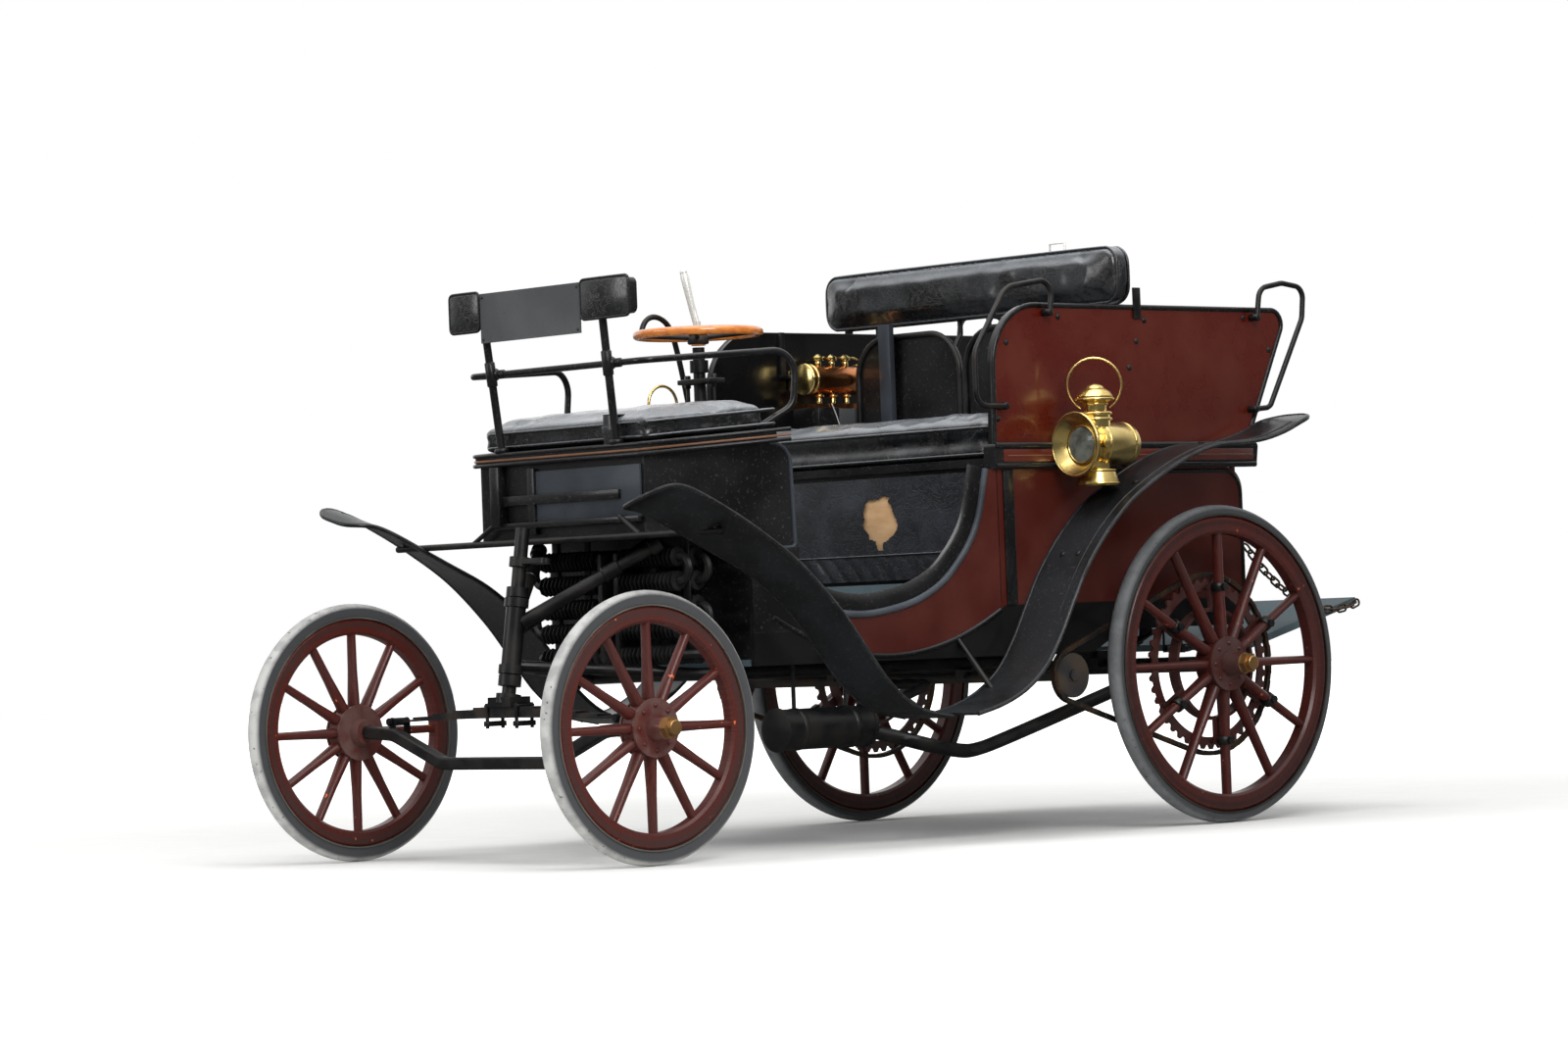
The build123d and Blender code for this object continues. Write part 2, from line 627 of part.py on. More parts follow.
# Seat irons: struts and hoops that carry the back rest, grab irons at both ends of each side
GRAB_X = BODY_HALF + 22.3
with BuildPart() as seat_irons:
    for sign in (-1, 1):
        for x in (60, 410):
            add(tube(
                [
                    (sign * x, BACK_Y + 28, SEAT_BOARD_Z),
                    (sign * x, BACK_Y + 28, 1400),
                    (sign * x, PAD_Y, 1440),
                    (sign * x, PAD_Y, PAD_LOW_Z),
                ],
                8,
                bends=18,
            ))
        add(tube(
            [
                (sign * GRAB_X, 172, BEAM_TOP_Z - 30),
                (sign * GRAB_X, 0, 1225),
                (sign * GRAB_X, 138, 1530),
                (sign * GRAB_X, 300, 1540),
                (sign * GRAB_X, 290, 1440),
            ],
            8,
            bends=40,
        ))
        add(tube(
            [
                (sign * GRAB_X, 1150, 1420),
                (sign * GRAB_X, 1150, 1530),
                (sign * GRAB_X, 1330, 1520),
                (sign * GRAB_X, 1300, 1250),
                (sign * GRAB_X, 1120, 1060),
            ],
            8,
            bends=40,
        ))
seat_irons.part.label = "seat_irons"
export_step(seat_irons.part, "parts/seat_irons.step")

# Handrail round the front bench with a loop down at each end
RAIL_FRONT_Y = -995
HAND_Z = 1325
with BuildPart() as front_handrail:
    add(tube(
        [
            (-440, -655, 1142),
            (-478, -560, 1200),
            (-478, -545, 1352),
            (-368, RAIL_FRONT_Y, HAND_Z),
            (368, RAIL_FRONT_Y, HAND_Z),
            (478, -545, 1352),
            (478, -560, 1200),
            (440, -655, 1142),
        ],
        9,
        bends=[50, 62, 40, 40, 62, 50],
    ))
front_handrail.part.label = "front_handrail"
export_step(front_handrail.part, "parts/front_handrail.step")

# Back board of the front bench on two posts
POST_X = 243
with BuildPart() as back_board:
    for sign in (-1, 1):
        add(rod((sign * POST_X, -992, 1109), (sign * (POST_X + 7), -1031, 1452), 11))
    with BuildSketch(front_view(-1016)):
        with Locations((0, 1498)):
            RectangleRounded(756, 96, 18)
    extrude(amount=26.2)
back_board.part.label = "back_board"
export_step(back_board.part, "parts/back_board.step")

with BuildPart() as number_plate:
    with BuildSketch(front_view(-1042.5)):
        with Locations((-36, 1478)):
            Rectangle(424, 136)
    extrude(amount=4)
number_plate.part.label = "number_plate"
export_step(number_plate.part, "parts/number_plate.step")


def wing_section(route, thickness, corner):
    """Closed outline of a bent board whose upper face follows the route."""
    with BuildSketch(side_view(0)) as section:
        with BuildLine():
            FilletPolyline(*route, radius=corner)
            offset(amount=thickness, side=Side.RIGHT, closed=True)
        make_face()
    return section.sketch


# Front wings: flat boards from a level tip down to the step
WING_T = 8
# y, z of the upper face
FRONT_WING = ((-1335, 984), (-1150, 992), (-400, 372), (-262, 350))
REAR_WING = ((1185, 1146), (560, 1030), (-110, 380), (-232, 358))
# name, route, inner x, width, bend
for name, route, inner_x, width, bend in (
    ("front_wing", FRONT_WING, 556, 186, 190),
    ("rear_wing", REAR_WING, 652, 178, 210),
):
    with BuildPart() as wing:
        with BuildSketch(side_view(inner_x)):
            with BuildLine():
                upper = FilletPolyline(*route, radius=bend)
                offset(amount=WING_T, side=Side.RIGHT, closed=True)
            make_face()
        extrude(amount=width)
        tip = wing.faces().sort_by(Axis.Y)[0 if name == "front_wing" else -1]
        corner_edges = tip.edges().filter_by(GeomType.LINE).sort_by(Axis.X)
        fillet([corner_edges[0], corner_edges[-1]], 70)
    for side, sign in (("left", 1), ("right", -1)):
        shape = wing.part if sign > 0 else wing.part.mirror(Plane.YZ)
        shape.label = f"{name}_{side}"
        export_step(shape, f"parts/{name}_{side}.step")

# Wing irons: brackets from the body and the tie bar out to the wings
TIE_Y = -1018
TIE_Z = 860
TIE_HALF = 690
with BuildPart() as wing_irons:
    add(rod((-TIE_HALF, TIE_Y, TIE_Z), (TIE_HALF, TIE_Y, TIE_Z), 9))
    for sign in (-1, 1):
        add(rod((sign * 660, TIE_Y, TIE_Z + 8), (sign * 660, TIE_Y, 878), 7))
        add(rod((sign * 468, -480, 545), (sign * 640, -480, 428), 8))
        add(rod((sign * 600.3, 300, 700), (sign * 690, 300, 752), 8))
        add(rod((sign * 600.3, 640, 960), (sign * 700, 640, 1034), 8))
        add(rod((sign * 567, -60, 548), (sign * 690, -60, 418), 8))
wing_irons.part.label = "wing_irons"
export_step(wing_irons.part, "parts/wing_irons.step")

# Radiator: two banks of horizontal tubes between headers, hung under the front bench
RAD_Y = -822
RAD_LOW_Z = 540
RAD_ROWS = 7
RAD_PITCH = 44
RAD_IN = 30
RAD_OUT = 300
RAD_TUBE_R = 14
with BuildPart() as radiator:
    for row in range(RAD_ROWS):
        z = RAD_LOW_Z + row * RAD_PITCH
        for y in (RAD_Y, RAD_Y + 66):
            add(rod((RAD_IN + 10, y, z), (RAD_OUT - 10, y, z), RAD_TUBE_R))
    for x in (RAD_IN, RAD_OUT - 24):
        with BuildSketch(side_view(x)):
            with Locations((RAD_Y + 33, RAD_LOW_Z + (RAD_ROWS - 1) * RAD_PITCH / 2)):
                RectangleRounded(100, (RAD_ROWS - 1) * RAD_PITCH + 34, 14)
        extrude(amount=24)
    with BuildSketch(side_view(150)):
        with Locations((RAD_Y + 33, RAD_LOW_Z - 14)):
            Rectangle(8, seat_z(RAD_Y + 33) - RAD_LOW_Z + 12, align=(Align.CENTER, Align.MIN))
    extrude(amount=30)
    mirror(about=Plane.YZ)
radiator.part.label = "radiator"
export_step(radiator.part, "parts/radiator.step")

# Engine under the driver's bench
with BuildPart() as engine_block:
    with BuildSketch(Plane.XY.offset(FLOOR_Z + FLOOR_T + 0.3)):
        with Locations((0, 300)):
            RectangleRounded(380, 240, 30)
    extrude(amount=400)
engine_block.part.label = "engine_block"
export_step(engine_block.part, "parts/engine_block.step")

# Rear axle with its leaf springs
REAR_SPRING_HALF = 210
with BuildPart() as rear_axle:
    for sign in (-1, 1):
        add(rod((0, REAR_AXLE_Y, REAR_TYRE_R), (sign * (REAR_HALF_TRACK - 80), REAR_AXLE_Y, REAR_TYRE_R), 22))
        add(rod(
            (sign * (REAR_HALF_TRACK - 82), REAR_AXLE_Y, REAR_TYRE_R),
            (sign * (REAR_HALF_TRACK + 24), REAR_AXLE_Y, REAR_TYRE_R),
            SPINDLE_R,
        ))
        for leaf in range(4):
            half = REAR_SPRING_HALF - leaf * 48
            low = REAR_TYRE_R + 22 + 18 - leaf * LEAF_T
            rise = 50 * (half / REAR_SPRING_HALF) ** 2
            with BuildSketch(side_view(sign * RAIL_X)):
                with BuildLine():
                    y0 = REAR_AXLE_Y
                    ThreePointArc((y0 - half, low + rise), (y0, low), (y0 + half, low + rise))
                    Line((y0 + half, low + rise), (y0 + half, low + rise + LEAF_T))
                    ThreePointArc((y0 + half, low + rise + LEAF_T), (y0, low + LEAF_T), (y0 - half, low + rise + LEAF_T))
                    Line((y0 - half, low + rise + LEAF_T), (y0 - half, low + rise))
                make_face()
            extrude(amount=22, both=True)
        with BuildSketch(Plane.XY.offset(REAR_TYRE_R)):
            with Locations((sign * RAIL_X, REAR_AXLE_Y)):
                Rectangle(60, 80)
        extrude(amount=46)
        for end in (-1, 1):
            with BuildSketch(Plane.XY.offset(REAR_TYRE_R + 40 + 46)):
                with Locations((sign * RAIL_X, REAR_AXLE_Y + end * (REAR_SPRING_HALF - 12))):
                    Rectangle(30, 24)
            extrude(amount=RAIL_HIGH_Z - REAR_TYRE_R - 86 - RAIL_R)
rear_axle.part.label = "rear_axle"
export_step(rear_axle.part, "parts/rear_axle.step")

# Steering column between the front bench and the driver
COLUMN_Y = -473
COLUMN_TOP_Z = 1388
with BuildPart() as steering_column:
    add(rod((0, COLUMN_Y, FLOOR_Z + FLOOR_T), (0, COLUMN_Y, COLUMN_TOP_Z), 17))
    for low, high, radius in ((FLOOR_Z + FLOOR_T, FLOOR_Z + FLOOR_T + 20, 45), (1318, 1352, 26)):
        add(rod((0, COLUMN_Y, low), (0, COLUMN_Y, high), radius))
steering_column.part.label = "steering_column"
export_step(steering_column.part, "parts/steering_column.step")

RIM_R = 170
RIM_Z = 1427
with BuildPart() as steering_wheel:
    with BuildSketch(Plane(origin=(RIM_R, COLUMN_Y, RIM_Z), x_dir=(1, 0, 0), z_dir=(0, -1, 0))):
        Circle(12.5)
    revolve(axis=Axis((0, COLUMN_Y, 0), (0, 0, 1)))
    add(rod((0, COLUMN_Y, COLUMN_TOP_Z + 5), (0, COLUMN_Y, RIM_Z + 14), 20))
    for turn in range(4):
        angle = radians(45 + 90 * turn)
        add(rod(
            (0, COLUMN_Y, RIM_Z - 12),
            (RIM_R * cos(angle), COLUMN_Y + RIM_R * sin(angle), RIM_Z),
            6,
        ))
steering_wheel.part.label = "steering_wheel"
export_step(steering_wheel.part, "parts/steering_wheel.step")

# Small hand lever above the wheel
with BuildPart() as hand_lever:
    add(rod((0, COLUMN_Y, RIM_Z + 14.3), (0, COLUMN_Y, RIM_Z + 34), 9))
    add(rod((0, COLUMN_Y, RIM_Z + 28), (-26, COLUMN_Y - 22, RIM_Z + 172), 7))
hand_lever.part.label = "hand_lever"
export_step(hand_lever.part, "parts/hand_lever.step")

# Drip lubricator on the right-hand side panel
LUB_X = -500
with BuildPart() as lubricator:
    add(rod((LUB_X, 392, 1335), (LUB_X, 600, 1335), 40))
    add(rod((LUB_X, 386, 1335), (LUB_X, 402, 1335), 44))
    add(rod((LUB_X, 590, 1335), (LUB_X, 604, 1335), 43))
    for y in (440, 495, 550):
        add(rod((LUB_X, y, 1248), (LUB_X, y, 1398), 7))
    with BuildSketch(Plane.XY.offset(1192)):
        with Locations((-BODY_HALF + PANEL + 0.3 + 55, 495)):
            Rectangle(110, 180)
    extrude(amount=70)
lubricator.part.label = "lubricator"
export_step(lubricator.part, "parts/lubricator.step")

# Oil side lamps on brackets: bell, drum, chimney and font
LAMP_X = 704
LAMP_Z = 1078
LAMP_FRONT_Y = 285
with BuildPart() as side_lamps:
    with BuildSketch(Plane(origin=(LAMP_X, LAMP_FRONT_Y, LAMP_Z), x_dir=(0, 1, 0), z_dir=(1, 0, 0))):
        with BuildLine():
            Polyline((0, 0), (0, 84), (14, 86), (44, 58), (70, 58), (70, 61), (190, 61), (200, 40), (200, 0), close=True)
        make_face()
    revolve(axis=Axis((LAMP_X, 0, LAMP_Z), (0, 1, 0)))
    with BuildSketch(Plane(origin=(LAMP_X, LAMP_FRONT_Y + 120, 0), x_dir=(1, 0, 0), z_dir=(0, -1, 0))):
        with BuildLine():
            Polyline(
                (0, LAMP_Z + 40), (40, LAMP_Z + 40), (40, LAMP_Z + 100), (30, LAMP_Z + 120), (48, LAMP_Z + 130),
                (48, LAMP_Z + 146), (20, LAMP_Z + 168), (0, LAMP_Z + 168), close=True,
            )
        make_face()
    revolve(axis=Axis((LAMP_X, LAMP_FRONT_Y + 120, 0), (0, 0, 1)))
    with BuildSketch(Plane(origin=(LAMP_X, LAMP_FRONT_Y + 120, 0), x_dir=(1, 0, 0), z_dir=(0, -1, 0))):
        with BuildLine():
            Polyline((0, LAMP_Z - 40), (40, LAMP_Z - 40), (40, LAMP_Z - 80), (56, LAMP_Z - 112), (0, LAMP_Z - 112), close=True)
        make_face()
    revolve(axis=Axis((LAMP_X, LAMP_FRONT_Y + 120, 0), (0, 0, 1)))
    with BuildSketch(front_view(LAMP_FRONT_Y + 110)):
        with Locations((BODY_HALF + 14.3, LAMP_Z - 20)):
            Rectangle(50, 24, align=(Align.MIN, Align.CENTER))
    extrude(amount=-24)
    mirror(about=Plane.YZ)
side_lamps.part.label = "side_lamps"
export_step(side_lamps.part, "parts/side_lamps.step")

# Tube below the sill on the left
with BuildPart() as exhaust_pipe:
    add(tube([(150, 0, 430), (420, 60, 424), (600, 150, 352), (628, 420, 392)], 17, bends=60))
    add(rod((200, 11, 430), (200, 11, FLOOR_Z), 6))
exhaust_pipe.part.label = "exhaust_pipe"
export_step(exhaust_pipe.part, "parts/exhaust_pipe.step")

# Driving chains round the rear sprockets and the countershaft behind the entrance
CHAIN_Y = 250
CHAIN_Z = 438
CHAIN_X = REAR_HALF_TRACK + SPROCKET_X + SPROCKET_T / 2
SMALL_R = 62
CHAIN_T = 12
CHAIN_W = 14
span = REAR_AXLE_Y - CHAIN_Y
lean = atan2(REAR_TYRE_R - CHAIN_Z, span)
with BuildPart() as drive_chains:
    for sign in (-1, 1):
        with BuildSketch(side_view(sign * CHAIN_X - CHAIN_W / 2)) as loop:
            for grow, mode in ((CHAIN_T + 5.5, Mode.ADD), (5.5, Mode.SUBTRACT)):
                big = SPROCKET_TIP_R + grow
                small = SMALL_R + grow
                gap = hypot(span, REAR_TYRE_R - CHAIN_Z)
                open_angle = atan2(big - small, gap)
                with BuildSketch(Plane.XY, mode=mode):
                    with Locations((REAR_AXLE_Y, REAR_TYRE_R)):
                        Circle(big)
                    with Locations((CHAIN_Y, CHAIN_Z)):
                        Circle(small)
                    with BuildLine():
                        tilt = pi / 2 + open_angle
                        Polyline(
                            (REAR_AXLE_Y + big * cos(tilt), REAR_TYRE_R + big * sin(tilt)),
                            (CHAIN_Y + small * cos(tilt), CHAIN_Z + small * sin(tilt)),
                            (CHAIN_Y + small * cos(tilt), CHAIN_Z - small * sin(tilt)),
                            (REAR_AXLE_Y + big * cos(tilt), REAR_TYRE_R - big * sin(tilt)),
                            close=True,
                        )
                    make_face()
        extrude(amount=CHAIN_W)
drive_chains.part.label = "drive_chains"
export_step(drive_chains.part, "parts/drive_chains.step")

# Countershaft with its two small sprockets
with BuildPart() as countershaft:
    add(rod((-CHAIN_X - 10, CHAIN_Y, CHAIN_Z), (CHAIN_X + 10, CHAIN_Y, CHAIN_Z), 15))
    for sign in (-1, 1):
        with BuildSketch(side_view(sign * CHAIN_X - SPROCKET_T / 2)):
            with Locations((CHAIN_Y, CHAIN_Z)):
                Circle(SMALL_R)
        extrude(amount=SPROCKET_T)
        with BuildSketch(Plane.XY.offset(CHAIN_Z)):
            with Locations((sign * RAIL_X, CHAIN_Y)):
                Rectangle(30, 44)
        extrude(amount=RAIL_Z - RAIL_R - CHAIN_Z)
countershaft.part.label = "countershaft"
export_step(countershaft.part, "parts/countershaft.step")

# Tailboard hinged below the rear panel, resting on a slope
HINGE_Y = 1098
HINGE_Z = 492
BOARD_SLOPE = 14
BOARD_T = 20
BOARD_HALF = 568
BOARD_LENGTH = (OVERALL_HALF - HINGE_Y) / cos(radians(BOARD_SLOPE))
board_plane = Plane(
    origin=(0, HINGE_Y, HINGE_Z),
    x_dir=(0, cos(radians(BOARD_SLOPE)), sin(radians(BOARD_SLOPE))),
    z_dir=(1, 0, 0),
)
with BuildPart() as tailboard:
    with BuildSketch(board_plane.offset(-BOARD_HALF)):
        with BuildLine():
            Polyline((22, -BOARD_T / 2), (BOARD_LENGTH, -BOARD_T / 2), (BOARD_LENGTH - 3, BOARD_T / 2),
                     (22, BOARD_T / 2), close=True)
        make_face()
    extrude(amount=2 * BOARD_HALF)
    # Knuckles on the pin
    for x in (-300, 300):
        with BuildSketch(board_plane.offset(x - 30)):
            Circle(10)
            with Locations((14, 0)):
                Rectangle(28, 14)
        extrude(amount=60)
        with BuildSketch(board_plane.offset(x - 31)):
            Circle(5.1)
        extrude(amount=62, mode=Mode.SUBTRACT)
    for sign in (-1, 1):
        add(rod((sign * BOARD_HALF, HINGE_Y + 478, HINGE_Z + 119), (sign * (BOARD_HALF + 18), HINGE_Y + 478, HINGE_Z + 119), 5))
tailboard.part.label = "tailboard"
export_step(tailboard.part, "parts/tailboard.step")

# Hinge straps with the tailboard's pins
with BuildPart() as tailboard_hinges:
    for x in (-300, 300):
        for cheek in (-38, 33):
            with BuildSketch(side_view(x + cheek)):
                with BuildLine():
                    Polyline((HINGE_Y + 8, HINGE_Z - 8), (HINGE_Y + 8, HINGE_Z + 4), (REAR_Y + 3, HINGE_Z + 16),
                             (REAR_Y + 3, SKIRT_Z + 64), (REAR_Y - 1.7, SKIRT_Z + 64), (REAR_Y - 1.7, HINGE_Z - 8),
                             close=True)
                make_face()
            extrude(amount=5)
        add(rod((x - 38, HINGE_Y, HINGE_Z), (x + 38, HINGE_Y, HINGE_Z), 5))
        with BuildSketch(front_view(REAR_Y - 1.7)):
            with Locations((x, SKIRT_Z + 4)):
                Rectangle(76, 60, align=(Align.CENTER, Align.MIN))
        extrude(amount=-5)
tailboard_hinges.part.label = "tailboard_hinges"
export_step(tailboard_hinges.part, "parts/tailboard_hinges.step")

# Slack chains from the body to the tailboard
with BuildPart() as tailboard_chains:
    for sign in (-1, 1):
        x = sign * (BOARD_HALF + 26)
        add(tube(
            [
                (x, REAR_Y + 4, 790),
                (x, 1190, 690),
                (x, 1300, 622),
                (x, 1420, 600),
                (x, HINGE_Y + 478, HINGE_Z + 119),
            ],
            6,
            bends=60,
        ))
tailboard_chains.part.label = "tailboard_chains"
export_step(tailboard_chains.part, "parts/tailboard_chains.step")
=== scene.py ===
"""Looks for a veteran dogcart motor car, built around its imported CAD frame.

Every size is in metres in the CAD's own frame: +X is the car's left, -Y its front, +Z up, ground at zero.
"""

from __future__ import annotations

import json
import logging
import math
from collections.abc import Callable, Iterator, Sequence
from contextlib import contextmanager
from dataclasses import dataclass
from enum import Enum

import bpy
from mathutils import Matrix, Vector
from mathutils.kdtree import KDTree
from mathutils.noise import noise

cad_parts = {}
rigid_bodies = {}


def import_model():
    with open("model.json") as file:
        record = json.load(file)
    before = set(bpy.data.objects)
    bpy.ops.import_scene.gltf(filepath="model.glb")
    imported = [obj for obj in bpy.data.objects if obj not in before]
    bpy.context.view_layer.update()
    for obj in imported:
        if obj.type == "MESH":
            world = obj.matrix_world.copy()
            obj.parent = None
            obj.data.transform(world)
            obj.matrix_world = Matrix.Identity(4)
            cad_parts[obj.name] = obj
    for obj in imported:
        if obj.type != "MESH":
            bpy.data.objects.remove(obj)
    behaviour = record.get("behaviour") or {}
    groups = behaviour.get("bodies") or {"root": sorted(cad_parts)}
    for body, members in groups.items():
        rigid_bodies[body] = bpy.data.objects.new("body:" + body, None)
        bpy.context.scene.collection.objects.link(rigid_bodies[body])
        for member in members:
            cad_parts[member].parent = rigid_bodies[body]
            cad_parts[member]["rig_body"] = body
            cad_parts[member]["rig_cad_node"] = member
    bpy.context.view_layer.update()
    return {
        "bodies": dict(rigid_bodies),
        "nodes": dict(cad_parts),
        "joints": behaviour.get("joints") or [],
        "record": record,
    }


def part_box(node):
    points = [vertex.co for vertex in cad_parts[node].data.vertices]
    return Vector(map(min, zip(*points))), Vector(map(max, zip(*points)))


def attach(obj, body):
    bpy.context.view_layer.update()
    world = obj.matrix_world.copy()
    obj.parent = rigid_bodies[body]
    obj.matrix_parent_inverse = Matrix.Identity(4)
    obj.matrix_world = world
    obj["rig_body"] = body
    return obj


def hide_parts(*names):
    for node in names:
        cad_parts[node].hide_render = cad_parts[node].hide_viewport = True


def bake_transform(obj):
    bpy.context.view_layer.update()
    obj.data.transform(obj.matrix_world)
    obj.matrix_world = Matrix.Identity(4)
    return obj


log = logging.getLogger("dogcart")

Flat = tuple[float, float]
Route = Sequence[Flat]
Point = tuple[float, float, float]
Colour = tuple[float, float, float, float]
Piece = bpy.types.Object
Socket = bpy.types.NodeSocket

# Driving dimensions shared with the CAD
FRONT_AXLE = (-1.243, 0.356)
REAR_AXLE = (0.801, 0.451)
FRONT_HALF_TRACK = 0.625
REAR_HALF_TRACK = 0.750
COLUMN_Y = -0.473
RIM_Z = 1.427
SIDES = (("left", 1), ("right", -1))
TAPER = math.atan2(0.255, 1.067)
NOSE = (0.345, -0.987)
SEAT_SLOPE = math.tan(math.radians(4.4))
SEAT_LOW_Z = 1.075
SILL_Y = -0.27
SILL_LOW_Z = 0.513
SILL_HIGH_Z = 0.64
SILL_BEND = 0.95
LAMP = (0.704, 0.373, 1.078)
LUBRICATOR = (-0.500, 1.335)

# Upper faces of the wings (y, z), from the tip down to the step
FRONT_WING = (
    (-1.276, 0.974), (-1.240, 0.981), (-1.195, 0.977), (-1.137, 0.957), (-1.050, 0.917), (-0.948, 0.863),
    (-0.804, 0.773), (-0.669, 0.652), (-0.565, 0.530), (-0.485, 0.440), (-0.385, 0.374), (-0.262, 0.348),
)
REAR_WING = (
    (1.162, 1.160), (1.100, 1.142), (1.020, 1.112), (0.930, 1.090), (0.836, 1.080), (0.748, 1.076),
    (0.659, 1.056), (0.561, 1.020), (0.470, 0.976), (0.380, 0.925), (0.300, 0.862), (0.229, 0.790),
    (0.170, 0.714), (0.120, 0.632), (0.070, 0.548), (0.010, 0.470), (-0.070, 0.412), (-0.160, 0.376),
    (-0.256, 0.354),
)
# Edge of the entrance (y, z), from the seat beam down, along the sill and up to the front panel
ENTRANCE = (
    (0.052, 1.016), (0.045, 0.985), (0.034, 0.925), (0.020, 0.872), (-0.004, 0.818), (-0.045, 0.758),
    (-0.104, 0.697), (-0.190, 0.650), (-0.298, 0.624), (-0.377, 0.620), (-0.454, 0.633), (-0.521, 0.664),
    (-0.576, 0.712), (-0.598, 0.764), (-0.604, 0.812),
)


class Body(str, Enum):
    """Bodies of the car that a piece can ride on."""

    ROOT = "root"
    STEERING = "steering_body"
    FRONT_LEFT = "front_left"
    FRONT_RIGHT = "front_right"
    REAR_LEFT = "rear_left"
    REAR_RIGHT = "rear_right"
    HAND_WHEEL = "hand_wheel"
    TAIL_BOARD = "tail_board"


def srgb(red: int, green: int, blue: int) -> Colour:
    """Turn a display colour into Blender's linear values.

    Args:
        red: red from 0 to 255.
        green: green from 0 to 255.
        blue: blue from 0 to 255.

    Returns:
        The linear colour with full alpha.
    """
    parts = [((c / 255 + 0.055) / 1.055) ** 2.4 if c > 10 else c / 255 / 12.92 for c in (red, green, blue)]
    return (parts[0], parts[1], parts[2], 1.0)


# Shader trees


class Tree:
    """A short way to add and join nodes in one shader tree."""

    def __init__(self, tree: bpy.types.NodeTree) -> None:
        """Keep the tree that nodes are added to."""
        self.tree = tree

    def node(self, kind: str, inputs: dict | None = None, **settings: object) -> bpy.types.Node:
        """Add a node.

        Args:
            kind: the node's type without its ShaderNode prefix.
            inputs: a value or an output socket for each input, by name or number.
            settings: properties of the node itself.

        Returns:
            The new node.
        """
        made = self.tree.nodes.new(f"ShaderNode{kind}")
        for key, value in settings.items():
            setattr(made, key, value)
        self.fill(made, inputs or {})
        return made

    def fill(self, node: bpy.types.Node, values: dict) -> None:
        """Set several inputs of a node."""
        for key, value in values.items():
            self.set(node.inputs[key], value)

    def set(self, socket: Socket, value: object) -> None:
        """Link an output to the socket, or write a value on it."""
        if isinstance(value, Socket):
            self.tree.links.new(value, socket)
        else:
            socket.default_value = value

    def maths(self, operation: str, *values: object) -> Socket:
        """Add a Math node and return its result."""
        return self.node("Math", dict(enumerate(values)), operation=operation).outputs[0]

    def ramp(self, value: object, low: float, high: float) -> Socket:
        """Return 0 where the value is low, 1 where it is high, and a smooth step between."""
        made = self.node("MapRange", {"Value": value, "From Min": low, "From Max": high})
        made.interpolation_type = "SMOOTHSTEP"
        return made.outputs["Result"]

    def blend(self, share: object, first: object, second: object) -> Socket:
        """Mix two colours by a share and return the mixed colour."""
        return self.node("Mix", {0: share, 6: first, 7: second}, data_type="RGBA").outputs[2]

    def noise(self, vector: object, scale: float, detail: float = 4.0) -> Socket:
        """Return a noise pattern's value."""
        return self.node("TexNoise", {"Vector": vector, "Scale": scale, "Detail": detail}).outputs[0]

    def mapped(self, vector: object, scale: Point = (1, 1, 1), shift: Point = (0, 0, 0)) -> Socket:
        """Return the vector moved and stretched."""
        return self.node("Mapping", {"Vector": vector, "Scale": scale, "Location": shift}).outputs[0]

    def group(self, group: bpy.types.NodeTree, inputs: dict) -> bpy.types.Node:
        """Place a shared group with its own values."""
        made = self.tree.nodes.new("ShaderNodeGroup")
        made.node_tree = group
        self.fill(made, inputs)
        return made

    def bump(self, height: Socket, depth: float, strength: float) -> Socket:
        """Return a bumpy normal."""
        return self.node("Bump", {"Height": height, "Distance": depth, "Strength": strength}).outputs[0]

    def facing(self, vector: object, axis: str) -> Socket:
        """Return one part of a vector."""
        return self.node("SeparateXYZ", {0: vector}).outputs[axis]

    def normal(self) -> Socket:
        """Return the surface's normal."""
        return self.node("NewGeometry").outputs["Normal"]


